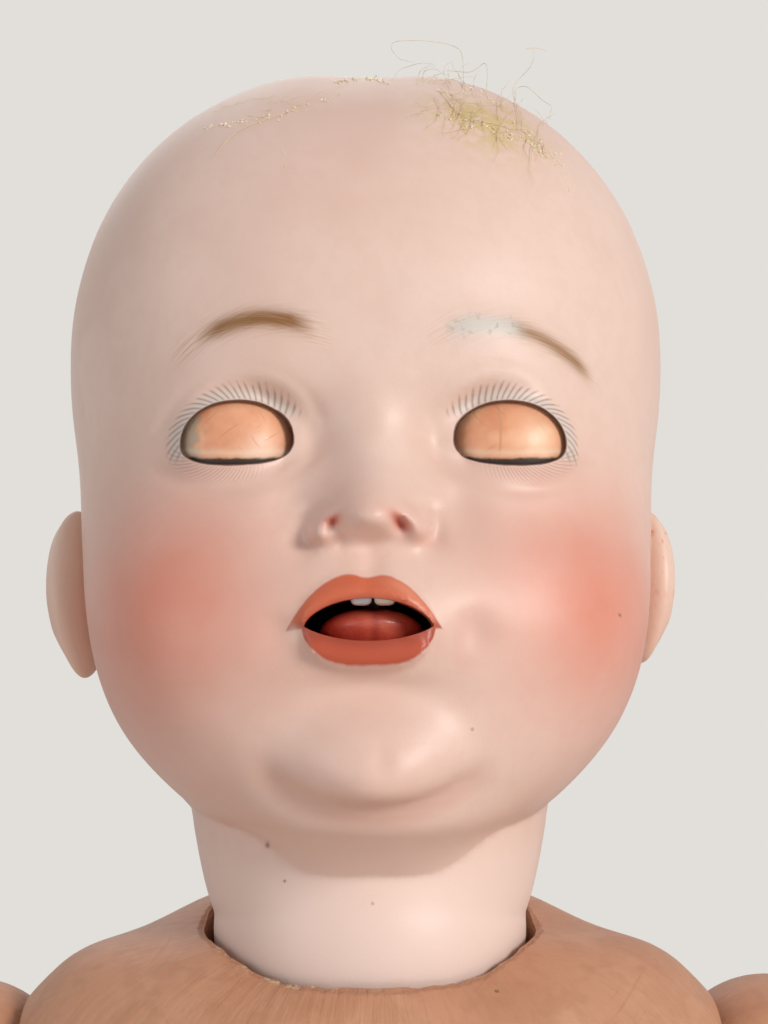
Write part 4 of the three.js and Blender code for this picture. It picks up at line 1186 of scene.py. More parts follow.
class Pattern:
    """Texture steps over millimetre coordinates, for a material or for a group."""

    def __init__(self, tree, spot):
        self.tree = tree
        self.spot = spot
        split = tree.nodes.new("ShaderNodeSeparateXYZ")
        tree.links.new(spot, split.inputs[0])
        self.x, self.y, self.z = (Shade(tree, socket) for socket in split.outputs)

    def spot_of(self, x, y, z):
        node = self.tree.nodes.new("ShaderNodeCombineXYZ")
        for entry, value in zip(node.inputs, (x, y, z)):
            feed(self.tree, entry, value)
        return node.outputs[0]

    def texture(self, kind, size, seed, spot=None):
        node = self.tree.nodes.new("ShaderNodeTex" + kind)
        setattr(node, kind.lower() + "_dimensions", "4D")
        feed(self.tree, node.inputs["Vector"], spot or self.spot)
        feed(self.tree, node.inputs["W"], seed)
        feed(self.tree, node.inputs["Scale"], 1 / size)
        return node

    def noise(self, size, seed, detail, spot=None):
        node = self.texture("Noise", size, seed, spot)
        node.inputs["Detail"].default_value = detail
        return Shade(self.tree, node.outputs["Fac"])

    def cells(self, size, seed, feature="F1"):
        node = self.texture("Voronoi", size, seed)
        node.feature = feature
        return Shade(self.tree, node.outputs["Distance"])

    def streaks(self, along_line, across_line, angle, width, length, seed):
        """Thin strokes at an angle to a line, from 0 to 1."""
        cos, sin = math.cos(angle), math.sin(angle)
        down_stroke = along_line * (cos / length) + across_line * (sin / length)
        over_stroke = across_line * (cos / width) - along_line * (sin / width)
        return self.noise(1, seed, 1, self.spot_of(down_stroke, over_stroke, 0))


class Finish(Pattern):
    """One procedural material, painted in layers over a piece's own millimetres."""

    def __init__(self, name, place, base, roughness, metallic=0, coat=0):
        self.material = bpy.data.materials.new(name)
        self.material.use_nodes = True
        tree = self.material.node_tree
        self.shader = tree.nodes["Principled BSDF"]
        for title, value in (("Metallic", metallic), ("Coat Weight", coat), ("Coat Roughness", 0.08)):
            self.shader.inputs[title].default_value = value
        inverse = place.inverted()
        coordinate = tree.nodes.new("ShaderNodeTexCoord")
        placed = tree.nodes.new("ShaderNodeMapping")
        shifts = (("Location", inverse.translation), ("Rotation", inverse.to_euler()), ("Scale", inverse.to_scale()))
        for title, value in shifts:
            placed.inputs[title].default_value = value
        tree.links.new(coordinate.outputs["Object"], placed.inputs["Vector"])
        super().__init__(tree, placed.outputs[0])
        self.tint = paint(*base)
        self.rough = roughness
        self.height = None

    def cover(self, colour, share, roughness=None):
        """Paints a colour over a share of the surface."""
        node = self.tree.nodes.new("ShaderNodeMix")
        node.data_type = "RGBA"
        feed(self.tree, node.inputs[0], share)
        feed(self.tree, node.inputs[6], self.tint)
        feed(self.tree, node.inputs[7], paint(*colour))
        self.tint = node.outputs[2]
        if roughness is not None:
            self.rough = share * roughness + (1 - share) * self.rough

    def blotches(self, colour, size, seed, detail, low, high, share):
        """Paints a colour in cloudy blotches, whose edges lie between a low and a high value of the noise."""
        self.cover(colour, step(self.noise(size, seed, detail), low, high) * share)

    def patch(self, x, z, wide, tall):
        """1 at a place of the front, falling away to the sides and up and down."""
        return bell((self.x - x) / wide) * bell((self.z - z) / tall)

    def from_middle(self):
        """Distance from the upright middle line."""
        return (self.x * self.x + self.y * self.y) ** 0.5

    def grainy(self, size, seed):
        """Fine grain of a surface: its height and its mottled colour."""
        return self.group(grain, Size=size, Seed=seed)

    def speckled(self, size, seed, amount):
        return self.group(specks, Size=size, Seed=seed, Amount=amount)[0]

    def scratched(self, length, seed):
        return self.group(scratches, Length=length, Seed=seed)[0]

    def fibrous(self, size, seed):
        return self.group(fibres, Size=size, Seed=seed)[0]

    def raise_by(self, height):
        self.height = height if self.height is None else self.height + height

    def group(self, tree, **values):
        node = self.tree.nodes.new("ShaderNodeGroup")
        node.node_tree = tree
        self.tree.links.new(self.spot, node.inputs["Place"])
        for title, value in values.items():
            feed(self.tree, node.inputs[title], value)
        return [Shade(self.tree, socket) for socket in node.outputs]

    def done(self):
        feed(self.tree, self.shader.inputs["Base Color"], self.tint)
        feed(self.tree, self.shader.inputs["Roughness"], self.rough)
        if self.height is not None:
            bump = self.tree.nodes.new("ShaderNodeBump")
            bump.inputs["Distance"].default_value = MM
            feed(self.tree, bump.inputs["Height"], self.height)
            self.tree.links.new(bump.outputs[0], self.shader.inputs["Normal"])
        return self.material


def shared_effect(name, entries, results, draw):
    """Node group with named inputs and outputs, drawn once and used by several materials."""
    tree = bpy.data.node_groups.new(name, "ShaderNodeTree")
    tree.interface.new_socket("Place", in_out="INPUT", socket_type="NodeSocketVector")
    for title, value in entries.items():
        socket = tree.interface.new_socket(title, in_out="INPUT", socket_type="NodeSocketFloat")
        socket.default_value = value
    for title in results:
        tree.interface.new_socket(title, in_out="OUTPUT", socket_type="NodeSocketFloat")
    entry = tree.nodes.new("NodeGroupInput")
    result = tree.nodes.new("NodeGroupOutput")
    pattern = Pattern(tree, entry.outputs["Place"])
    numbers = [Shade(tree, entry.outputs[title]) for title in entries]
    made = draw(pattern, *numbers)
    for title, value in zip(results, made):
        tree.links.new(value.socket, result.inputs[title])
    return tree


def draw_grain(pattern, size, seed):
    fine = pattern.noise(size, seed, 4)
    coarse = pattern.noise(size * 6, seed + 3.7, 2)
    return (fine + coarse * 0.6) - 0.8, coarse


def draw_specks(pattern, size, seed, amount):
    spread = pattern.cells(size, seed)
    patchy = pattern.noise(size * 3, seed + 9, 2)
    return [step(amount * 0.16 - spread + (patchy - 0.5) * 0.12, 0, 0.03)]


def draw_scratches(pattern, length, seed):
    bent = pattern.noise(length * 1.5, seed + 5, 2)
    lines = []
    for turned, shift in ((0.6, 0), (-0.9, 11)):
        along_it = pattern.x * math.cos(turned) + pattern.z * math.sin(turned) + pattern.y * 0.35
        over_it = pattern.z * math.cos(turned) - pattern.x * math.sin(turned) + bent * 4
        spot = pattern.spot_of(along_it / length, over_it / (length * 0.035), seed + shift)
        lines.append(step(pattern.noise(1, seed, 0, spot), 0.72, 0.8))
    return [at_most(lines[0] + lines[1], 1)]


def draw_fibres(pattern, size, seed):
    """Fine lines along Z, bent a little."""
    sway = pattern.noise(size * 30, seed, 2) * (size * 6)
    spot = pattern.spot_of((pattern.x + sway) / size, (pattern.y + sway) / size, pattern.z / (size * 18))
    return [pattern.noise(1, seed, 3, spot)]


grain = shared_effect("surface_grain", {"Size": 0.5, "Seed": 0}, ["Height", "Mottle"], draw_grain)
specks = shared_effect("scattered_specks", {"Size": 4, "Seed": 0, "Amount": 1}, ["Mask"], draw_specks)
scratches = shared_effect("fine_scratches", {"Length": 20, "Seed": 0}, ["Mask"], draw_scratches)
fibres = shared_effect("long_fibres", {"Size": 0.4, "Seed": 0}, ["Fibre"], draw_fibres)


def within(value, low, high, soft):
    """1 between two values and 0 outside them."""
    return step(value, low - soft, low + soft) * (1 - step(value, high - soft, high + soft))


def near(finish, x, y, z, reach):
    """1 at a place, falling away over a reach."""
    across = (finish.x - x) / reach
    deep = (finish.y - y) / reach
    lift = (finish.z - z) / reach
    return reckon(finish.tree, "EXPONENT", -(across * across + deep * deep + lift * lift))


def bisque_finish():
    f = Finish("bisque_skin", head_frame, (228, 197, 182), 0.44)
    height, mottle = f.grainy(0.55, 1)
    cloud = f.noise(38, 2, 2)
    front = step(-f.y, 24, 36)
    f.cover((216, 180, 164), step(cloud, 0.4, 0.66) * 0.55)
    f.blotches((233, 204, 190), 24, 5, 2, 0.5, 0.7, 0.5)
    f.cover((221, 186, 170), step(mottle, 0.45, 0.6) * 0.22)
    f.cover((234, 206, 193), 1 - step(f.z, 4, 22))
    f.raise_by(height * 0.03)
    blush_marks(f, front)
    brow_marks(f, front)
    lash_paint_and_eye_shade_marks(f, front)
    lip_paint_shade_and_highlight_marks(f, front)
    nostril_paint_and_nose_shade_marks(f, front)
    ear_marks(f)
    crown_marks(f)
    wear_and_painted_shade_marks(f, front)
    return f.done()


def blush_marks(f, front):
    uneven = f.noise(14, 8, 3)
    for middle, low in ((-43, 60), (45, 61)):
        spread = f.patch(middle, low, 24.5, 25) * step(-f.y, 2, 30)
        f.cover((216, 126, 101), at_most(spread * (0.6 + uneven * 0.4), 1))
    f.cover((226, 164, 144), f.patch(1, 27, 17, 11) * front * 0.26)
    f.cover((226, 168, 150), f.patch(0, 150, 30, 18) * front * 0.12)


def brow_marks(f, front):
    out = -f.x
    rise = f.z - 116.9 + (out - 24) ** 2 * 0.019
    strokes = f.streaks(out, rise, 0.12, 0.36, 8, 21)
    tips = f.streaks(out, rise, -0.22, 0.4, 7, 23)
    core = within(out, 14, 34, 3.4) * bell(rise / 1.95) * (0.52 + strokes * 0.95)
    fan = within(out, 10.5, 40, 4.5) * bell((rise + 0.1) / 2.7) * step(tips, 0.4, 0.66) * 0.62
    f.cover((176, 128, 84), at_most(fan * front, 1))
    f.cover((136, 92, 48), at_most(core * front * 1.05, 1))
    out = f.x
    rise = f.z - 115.8 + (out - 25) ** 2 * 0.0155
    strokes = f.streaks(out, rise, 0.1, 0.34, 9, 25)
    tips = f.streaks(out, rise, 0.25, 0.4, 7, 27)
    mottle = f.noise(1.5, 31, 3)
    worn = within(out, 15.5, 29.5, 2.8) * bell(rise / 2.1) * (0.55 + f.noise(2.6, 29, 3) * 0.75)
    fan = within(out, 11.5, 46, 3.5) * bell((rise - 0.3) / 2.9) * step(tips, 0.44, 0.68) * 0.45
    core = within(out, 27.5, 44.5, 2.4) * bell(rise / 1.65) * (0.42 + strokes * 0.95)
    f.cover((184, 148, 118), fan * front)
    f.cover((148, 106, 66), at_most(core * front, 1))
    f.cover((196, 189, 180), at_most(worn * front, 0.84))
    f.cover((132, 124, 112), worn * step(mottle, 0.54, 0.66) * front * 0.55)


# Painted lashes and rim line round the eyes, with painted shade along the rim's gap and under each eye
def lash_paint_and_eye_shade_marks(f, front):
    distance = rim_distance(abs(f.x), f.z)
    out, rise = from_rim(abs(f.x), f.z)
    angle = reckon(f.tree, "ARCTAN2", rise, out)
    upper = step(rise + step(out, 4, 10) * 2.4 - step(-out, 4, 11) * 5.5, -1.6, 0.8)
    lower = 1 - step(rise, -2, 0.6)
    band = step(distance, 0, 0.5) * (1 - step(distance, 1.4, 3.4))
    f.cover((211, 197, 187), band * upper * front * 0.8)
    wave = reckon(f.tree, "SINE", (angle + distance * 0.06) * 49.5 + f.noise(3, 35, 1) * 2)
    length = 2.6 + f.noise(2, 36, 1) * 1.8
    stroke = step(wave, -0.2, 0.9) * step(distance, 0, 0.8) * (1 - step(distance - length, -0.9, 0.5))
    f.cover((138, 110, 95), stroke * upper * front * 0.55)
    slant = reckon(f.tree, "SINE", (angle - distance * 0.09) * 60 + f.noise(2, 38, 1) * 2)
    faint = step(slant, 0.1, 0.9) * step(distance, 0.1, 0.9) * (1 - step(distance, 2.2, 4.2))
    f.cover((140, 114, 100), faint * lower * step(out, -8, 0) * front * 0.34)
    # Thin dark line round each eye opening: partly the painted rim line, partly painted shadow of the gap between the
    # rim and the lid
    uneven = f.noise(2.5, 37, 2)
    line = 1 - step(abs(distance + 0.15), 0.1 + uneven * 0.3, 0.35 + uneven * 0.35)
    f.cover((74, 46, 36), line * front * 0.9)
    # Painted shade: a darker pink band along the soft fold under each eye
    f.cover((214, 174, 156), bell((distance - 5.4) / 2.2) * lower * front * 0.3)


# Painted lips, with painted shade along and inside the mouth opening and painted highlights on the lips
def lip_paint_shade_and_highlight_marks(f, front):
    top, opening_top, opening_bottom, bottom = mouth_lines(f.x)
    edge = (f.noise(1.6, 41, 2) - 0.5) * 0.5
    soft = f.noise(6, 43, 2)
    upper = step(f.z - mouth_up, -0.5, 0.3)
    wide = step(15.4 - abs(f.x - upper_lip_aside), -0.5, 0.7) * upper
    wide = wide + step(12.9 - abs(f.x - mouth_aside), -0.5, 0.7) * (1 - upper)
    lips = step(top - f.z + edge, -0.3, 0.5) * step(f.z - bottom + edge, -0.3, 0.5)
    lips = at_most(lips * step(-f.y, 52, 56) * wide, 1)
    f.cover((224, 150, 126), f.patch(mouth_aside, mouth_up, 17, 11) * front * 0.2)
    f.cover((184, 78, 49), lips, 0.4)
    f.cover((212, 108, 73), lips * upper * (0.55 + soft * 0.4))
    # Painted highlight: paler on the upper lip's right half, near its top edge
    f.cover((228, 152, 122), lips * upper * bell((f.x - 6) / 5) * bell((f.z - top + 1.2) / 1.6) * 0.5)
    # Painted shade: the lips darker along both edges of the mouth opening
    f.cover((152, 58, 38), lips * bell((f.z - opening_bottom) / 1.4) * 0.6)
    f.cover((160, 66, 44), lips * bell((f.z - opening_top) / 0.8) * 0.45)
    # Painted highlight: a pale spot at the left corner of the mouth
    f.cover((238, 208, 190), near(f, -15.6, -73.5, 52.4, 1.6) * 0.7)
    # Painted shade: the head's walls inside the mouth opening are painted near black-red
    inside = step(f.y, -69, -65) * step(-f.y, 40, 50) * within(f.z, 47, 62, 1) * within(f.x, -15, 13, 1)
    f.cover((72, 24, 18), inside)


def nostril_paint_and_nose_shade_marks(f, front):
    """Red inside the nostrils; the right one is longer and slants. Painted shade: a dark spot deep in the right nostril
    and darker patches in the creases under the nose's wings.
    """
    for across, up, wide, tall, slant in ((-8.4, 73.9, 1.15, 0.8, -0.2), (4.7, 73.3, 1.6, 0.95, 0.45)):
        out = f.x - across
        lift = f.z - up + out * slant
        f.cover((214, 130, 106), bell(out / (wide * 1.7)) * bell(lift / (tall * 1.7)) * front * 0.6)
        f.cover((178, 70, 54), bell(out / wide) * bell(lift / tall) * front * 0.95)
    # Painted shade: a dark spot deep in the right nostril
    f.cover((140, 52, 40), near(f, 5.3, -80, 73.0, 0.8) * 0.7)
    f.cover((228, 164, 144), f.patch(-1.3, 75, 9, 6) * front * 0.26)
    # Painted shade: darker patches in the creases under the nose's wings
    f.cover((198, 142, 122), f.patch(-11.5, 70.4, 3, 1.2) * front * 0.35)
    f.cover((202, 146, 126), f.patch(9.4, 70.4, 3, 1.2) * front * 0.3)


def ear_marks(f):
    ear = step(abs(f.x), 62.5, 65) * within(f.z, 54, 97, 1) * within(f.y, -20, 12, 2)
    f.cover((236, 206, 186), ear * 0.6)
    f.cover((224, 148, 124), ear * bell((f.z - 72) / 14) * bell((f.y + 6) / 7) * 0.45)
    rubbed = step(f.noise(3.4, 51, 3), 0.54, 0.62) * step(f.x, 60, 64) * bell((f.z - 84) / 9)
    f.cover((208, 104, 72), rubbed * ear * 0.75)
    f.raise_by(step(f.cells(1.6, 53), 0.1, 0.4) * ear * 0.05)


def crown_marks(f):
    """Stained glue line round the cut of the crown, thicker where hair was torn off."""
    over = (f.z - crown_front.z) * crown_normal.z + (f.y - crown_front.y) * crown_normal.y
    ragged = (f.noise(9, 61, 3) - 0.5) * 12 + (f.noise(2.2, 62, 2) - 0.5) * 3
    stain = step(over + ragged, -9, -3)
    f.cover((212, 190, 160), stain * 0.55)
    crumbs = step(over + ragged, -7.5, -5.5) * step(f.noise(1.6, 63, 3), 0.5, 0.58)
    f.cover((232, 222, 200), crumbs * 0.85, 0.8)
    f.raise_by(crumbs * 0.3)
    patch = near(f, 25, -59.7, 168.5, 11) * step(f.noise(3, 65, 3), 0.4, 0.62)
    f.cover((208, 184, 122), at_most(patch * 1.2, 0.75), 0.75)


# Specks and scratches of wear, with painted shade along the chin's crease
def wear_and_painted_shade_marks(f, front):
    dots = f.speckled(9, 71, 0.45)
    f.cover((146, 104, 84), dots * 0.5)
    lines = f.scratched(16, 73)
    f.cover((206, 172, 156), lines * 0.05)
    # Darker pink spot under the right corner of the mouth
    f.cover((204, 150, 132), f.patch(17.5, 49, 3, 3.4) * front * 0.4)
    # Painted shade: darker pink along the lower half of the double-chin crease
    fold = ((f.x + 0.6) / 21.5) ** 2 + ((f.z - 30.5) / 12.6) ** 2
    f.cover((206, 156, 138), bell((fold ** 0.5 - 1) / 0.16) * (1 - step(f.z, 22, 31)) * front * 0.5)
    for across, up, size in ((-22, 15.3, 0.5), (-18.4, 8, 0.3), (49.9, 59, 0.35)):
        spot = f.patch(across, up, size, size) * step(-f.y, 15, 25)
        f.cover((112, 74, 56), spot * 0.8)
    rim = 1 - step(f.z, -27, -20)
    f.cover((214, 190, 172), rim * 0.6)


def composition_finish(name, place, warm_spots=()):
    """Painted composition: brushed tan paint, darker in the dips, with worn dots and edges."""
    f = Finish(name, place, (196, 142, 110), 0.5)
    height, mottle = f.grainy(0.9, 81)
    f.blotches((180, 126, 96), 30, 82, 3, 0.42, 0.64, 0.5)
    f.blotches((208, 157, 126), 12, 83, 3, 0.5, 0.68, 0.4)
    f.cover((174, 120, 90), step(mottle, 0.46, 0.62) * 0.3)
    around = reckon(f.tree, "ARCTAN2", f.y, f.x)
    out = f.from_middle()
    brushed = f.noise(1, 84, 3, f.spot_of(around * 26, out / 14, f.z / 14))
    f.cover((180, 126, 95), step(brushed, 0.48, 0.74) * 0.3)
    f.raise_by(height * 0.08 + brushed * 0.5)
    for x, y, z, reach in warm_spots:
        f.cover((212, 118, 88), near(f, x, y, z, reach) * 0.55)
    dots = f.speckled(6, 85, 0.62)
    f.cover((112, 78, 58), dots * 0.7)
    f.raise_by(dots * -0.12)
    chips = f.speckled(17, 87, 0.7)
    f.cover((222, 196, 162), chips * 0.6, 0.8)
    lines = f.scratched(24, 89)
    f.cover((156, 108, 82), lines * 0.22)
    f.raise_by(lines * -0.03)
    return f


def body_finish():
    f = composition_finish("body_composition", body_frame)
    out = f.from_middle()
    ragged = (f.noise(5, 91, 3) - 0.5) * 4 + (f.noise(1.3, 92, 2) - 0.5) * 1.6
    edge = step(f.z, neck_height - 25, neck_height - 20) * (1 - step(out + ragged * 0.5, 37.6, 38.8))
    f.cover((158, 116, 88), edge * 0.4, 0.8)
    crumbly = edge * step(f.noise(1.8, 93, 2), 0.52, 0.6)
    f.cover((214, 190, 156), crumbly * step(-f.y, 10, 20) * (1 - step(f.x, -14, -4)) * 0.8)
    f.cover((84, 58, 42), edge * (1 - step(out, 36.4, 37.2)) * 0.8)
    f.raise_by(edge * f.noise(1.2, 94, 3) * -0.5)
    face = step(abs(f.x), shoulder_face - 0.25, shoulder_face - 0.1)
    f.cover((150, 118, 88), face * 0.7, 0.85)
    f.cover((196, 138, 108), f.patch(0, 90, 5, 5) * step(-f.y, 40, 50) * 0.3)
    return f.done()


def limb_finishes(name, warm_spots):
    """Finish of the left and of the right limb of a kind."""
    made = {}
    for side, word in sides:
        spots = [(side * x, y, z, reach) for x, y, z, reach in warm_spots]
        made[side] = composition_finish(name + word, body_frame, spots).done()
    return made


def wax_finish():
    f = Finish("waxed_lid", head_frame, (230, 163, 124), 0.46, coat=0.06)
    height = f.grainy(0.5, 101)[0]
    f.blotches((214, 138, 100), 6, 102, 3, 0.4, 0.66, 0.6)
    f.blotches((243, 190, 152), 9, 103, 2, 0.48, 0.7, 0.6)
    # Painted highlight: a pale spot on the outer side of the left lid
    f.cover((250, 222, 186), near(f, 33.2, -66, 94, 3.2) * 0.75)
    ragged = (f.noise(2.4, 104, 3) - 0.5) * 6
    worn = (1 - step(f.x + ragged, -36.4, -34.6)) * step(f.z, 88, 91)
    f.cover((166, 156, 134), worn * 0.8)
    # Painted highlight: a soft pale spot low on the inner side of the right lid
    f.cover((240, 212, 190), near(f, -23, -67, 90, 4.4) * 0.55)
    dots = f.speckled(3.4, 105, 0.4)
    f.cover((92, 58, 42), dots * 0.75)
    bend = abs(f.x - 25.6 + (f.z - 95) ** 2 * 0.012)
    f.cover((206, 150, 112), (1 - step(bend, 0.12, 0.4)) * within(f.z, 90, 101, 1) * 0.7)
    lines = f.scratched(9, 107)
    f.cover((198, 140, 106), lines * 0.5)
    # Painted shadow: the lid is near black below a wavy line at its lower edge, for the shaded gap under the rim; a
    # paler strip runs just above it
    low = eye_up - 5.75 + f.noise(3, 108, 2) * 0.9 + ((abs(f.x) - eye_aside) / 9) ** 2 * 1.1
    f.cover((52, 34, 26), 1 - step(f.z - low, -0.3, 0.35))
    f.cover((244, 218, 190), bell((f.z - low - 1.1) / 0.7) * 0.4)
    f.raise_by(height * 0.04 - lines * 0.05)
    return f.done()


def eye_finish(side):
    """White glass with a blue-grey iris and a black pupil."""
    place = head_frame @ Matrix.Translation(eye_place[side]) @ Matrix.Rotation(open_angle, 4, "X")
    f = Finish("eye_glass_" + dict(sides)[side], place, (238, 236, 230), 0.06, coat=1)
    off = (f.x * f.x + f.z * f.z) ** 0.5 + step(f.y, 0, 2) * 20
    veins = step(f.streaks(off, f.x + f.z * 0.7, 0.2, 0.5, 5, 111), 0.64, 0.7)
    f.cover((214, 160, 150), veins * within(off, 7.5, 13, 1) * 0.12)
    f.blotches((214, 216, 218), 5, 112, 2, 0.4, 0.7, 0.3)
    around = reckon(f.tree, "ARCTAN2", f.z, f.x)
    rays = f.noise(1, 113, 2, f.spot_of(around * 7, off / 5, 0))
    iris = 1 - step(off, 5.6, 5.9)
    f.cover((96, 122, 146), iris)
    f.cover((168, 190, 204), iris * step(rays, 0.44, 0.66) * 0.8)
    f.cover((52, 66, 84), iris * step(off, 4.7, 5.5) * 0.8)
    f.cover((150, 140, 112), iris * (1 - step(off, 2.6, 3.8)) * 0.5)
    f.cover((12, 12, 14), 1 - step(off, 2.2, 2.5))
    return f.done()


def tooth_finish():
    f = Finish("tooth_enamel", head_frame, (226, 232, 236), 0.22, coat=0.4)
    height = f.grainy(0.4, 121)[0]
    f.cover((236, 222, 186), step(f.x, -0.4, 0.4) * 0.8)
    f.blotches((244, 240, 228), 2, 122, 2, 0.4, 0.7, 0.5)
    f.cover((206, 178, 146), step(f.z, tooth_up + 1.2, tooth_up + 2.4) * 0.6)
    f.raise_by(height * 0.03)
    return f.done()


def tongue_finish():
    f = Finish("tongue_paint", head_frame, (192, 78, 60), 0.38, coat=0.2)
    height = f.grainy(0.5, 131)[0]
    f.blotches((212, 108, 84), 5, 132, 3, 0.4, 0.66, 0.6)
    # Painted shade: darker along the middle groove and towards the back of the tongue, inside the mouth
    f.cover((142, 48, 38), bell(f.x / 0.9) * 0.5)
    f.cover((150, 52, 40), step(f.y, -62, -56) * 0.7)
    f.raise_by(height * 0.1)
    return f.done()


def board_finish():
    f = Finish("pate_board", head_frame, (168, 150, 124), 0.9)
    height = f.grainy(0.6, 141)[0]
    fibre = f.fibrous(0.35, 142)
    f.blotches((150, 131, 104), 22, 143, 3, 0.4, 0.66, 0.5)
    f.cover((188, 171, 143), step(fibre, 0.5, 0.66) * 0.45)
    glue = step(f.noise(9, 144, 3) + f.noise(1.6, 145, 2) * 0.3, 0.7, 0.82)
    f.cover((206, 191, 160), glue * 0.6, 0.7)
    f.blotches((172, 148, 104), 18, 146, 2, 0.56, 0.7, 0.35)
    f.raise_by(height * 0.2 + glue * 0.35)
    return f.done()


def leather_finish():
    f = Finish("liner_leather", body_frame, (150, 108, 74), 0.7)
    height = f.grainy(0.5, 151)[0]
    pores = f.cells(1.1, 152, "DISTANCE_TO_EDGE")
    f.blotches((116, 80, 52), 8, 153, 3, 0.42, 0.62, 0.6)
    f.cover((92, 62, 42), (1 - step(pores, 0.02, 0.14)) * 0.6)
    f.raise_by(height * 0.08 + step(pores, 0, 0.2) * 0.1)
    return f.done()


def elastic_finish(name):
    """Cotton-covered elastic: two sets of threads wound across each other."""
    f = Finish(name, body_frame, (214, 204, 180), 0.85)
    height = f.grainy(0.3, 161)[0]
    lengthwise = f.x * 0.8 + f.z * 0.6
    over = reckon(f.tree, "SINE", lengthwise * 5.5 + f.y * 3)
    under = reckon(f.tree, "SINE", lengthwise * 5.5 - f.y * 3)
    weave = at_least(over, under)
    f.cover((166, 152, 124), (1 - step(weave, -0.2, 0.6)) * 0.8)
    f.blotches((150, 128, 96), 12, 162, 2, 0.5, 0.66, 0.5)
    f.raise_by(weave * 0.12 + height * 0.05)
    return f.done()


def wood_finish(name, place):
    f = Finish(name, place, (204, 168, 122), 0.6)
    fibre = f.fibrous(0.5, 171)
    height = f.grainy(0.5, 172)[0]
    f.cover((172, 130, 84), step(fibre, 0.44, 0.66) * 0.7)
    f.cover((142, 104, 66), step(f.cells(1.3, 173), 0.5, 0.2) * 0.2)
    f.blotches((150, 116, 80), 9, 174, 2, 0.48, 0.66, 0.5)
    f.raise_by(fibre * 0.12 + height * 0.04)
    return f.done()


def wire_finish(name, place):
    f = Finish(name, place, (142, 140, 138), 0.36, metallic=1)
    height, mottle = f.grainy(0.5, 181)
    rust = step(f.noise(3.2, 182, 4) + mottle * 0.3, 0.62, 0.74)
    f.blotches((176, 172, 166), 1.2, 183, 2, 0.5, 0.64, 0.5)
    f.cover((120, 70, 42), rust, 0.82)
    f.raise_by(height * 0.05 + rust * 0.06)
    feed(f.tree, f.shader.inputs["Metallic"], 1 - rust)
    return f.done()


def lead_finish():
    f = Finish("cast_lead", head_frame, (108, 110, 114), 0.55, metallic=1)
    height = f.grainy(0.9, 191)[0]
    bloom = step(f.noise(4, 192, 4), 0.48, 0.64)
    f.cover((166, 168, 166), bloom * 0.7, 0.8)
    f.blotches((74, 76, 80), 2, 193, 3, 0.54, 0.66, 0.6)
    feed(f.tree, f.shader.inputs["Metallic"], 1 - bloom * 0.7)
    f.raise_by(height * 0.2)
    return f.done()


def plaster_finish():
    f = Finish("set_plaster", head_frame, (222, 214, 198), 0.88)
    height = f.grainy(0.8, 201)[0]
    pits = 1 - step(f.cells(2.2, 202), 0.12, 0.24)
    f.blotches((196, 184, 160), 6, 203, 3, 0.44, 0.62, 0.6)
    f.cover((140, 126, 104), pits * 0.8)
    f.raise_by(height * 0.25 - pits * 0.5)
    return f.done()


def cork_finish():
    f = Finish("stop_cork", head_frame, (184, 138, 92), 0.85)
    height = f.grainy(0.6, 211)[0]
    lumps = f.cells(1.8, 212)
    f.cover((150, 104, 64), step(lumps, 0.3, 0.6) * 0.7)
    dots = f.speckled(2.6, 213, 1.6)
    f.cover((84, 54, 34), dots * 0.85)
    f.raise_by(height * 0.15 - dots * 0.3)
    return f.done()


def glue_finish():
    f = Finish("dry_glue", head_frame, (242, 232, 208), 0.7)
    height = f.grainy(0.5, 221)[0]
    f.blotches((222, 204, 164), 2.4, 222, 3, 0.48, 0.64, 0.6)
    f.cover((212, 192, 132), near(f, 25, -60, 168.5, 10) * 0.6)
    f.raise_by(height * 0.2)
    return f.done()


def mohair_finish():
    f = Finish("pale_mohair", head_frame, (222, 202, 156), 0.5)
    fibre = f.fibrous(0.2, 231)
    f.blotches((184, 154, 100), 4, 232, 2, 0.46, 0.62, 0.6)
    f.cover((232, 216, 176), step(fibre, 0.52, 0.66) * 0.5)
    f.raise_by(fibre * 0.02)
    return f.done()


# Pieces
def pair(name, build, place, finishes, bodies, stands_for):
    """The left and the right piece of a kind."""
    for side, word in sides:
        finish = finishes[side] if isinstance(finishes, dict) else finishes
        make_piece(name + word, build(side), place, finish, bodies + word if bodies.endswith("_") else bodies,
                   [stands_for + word])


def both_sides(build):
    """Builder of a left piece that mirrors it for the right side."""
    def made(side):
        bm = build()
        if side < 0:
            bm.transform(Matrix.Scale(-1, 4, (1, 0, 0)))
            bmesh.ops.reverse_faces(bm, faces=bm.faces)
        return bm
    return made


arm_warmth = [
    (*elbow + Vector((0, 6, -8)), 15),
    (*wrist + palm_direction * 26, 17),
]
leg_warmth = [
    (*knee + Vector((4, -10, 20)), 17),
    (*ankle + foot_direction * 26, 15),
]
skin = bisque_finish()
head = make_piece("bisque_head", head_body(), head_frame, skin, "head", ["head"], 50)
pate = make_piece("board_pate", pate_body(), head_frame, board_finish(), "head", ["pate"])
glass = {side: eye_finish(side) for side in (1, -1)}
pair("glass_eye_", eye_ball, head_frame, glass, "eyes", "eye_")
pair("waxed_lid_", lid_body, head_frame, wax_finish(), "eyes", "lid_")
pair("milk_tooth_", tooth_body, head_frame, tooth_finish(), "head", "tooth_")
make_piece("wobbling_tongue", tongue_body(), head_frame, tongue_finish(), "tongue", ["tongue"])
shell_parts = ["torso_front", "torso_back"]
make_piece("body_shell", body_shell(), body_frame, body_finish(), "torso", shell_parts)
arm_paint = limb_finishes("arm_composition_", arm_warmth)
leg_paint = limb_finishes("leg_composition_", leg_warmth)
pair("bent_arm_", both_sides(arm_body), body_frame, arm_paint, "arm_", "arm_")
pair("bent_leg_", both_sides(leg_body), body_frame, leg_paint, "leg_", "leg_")
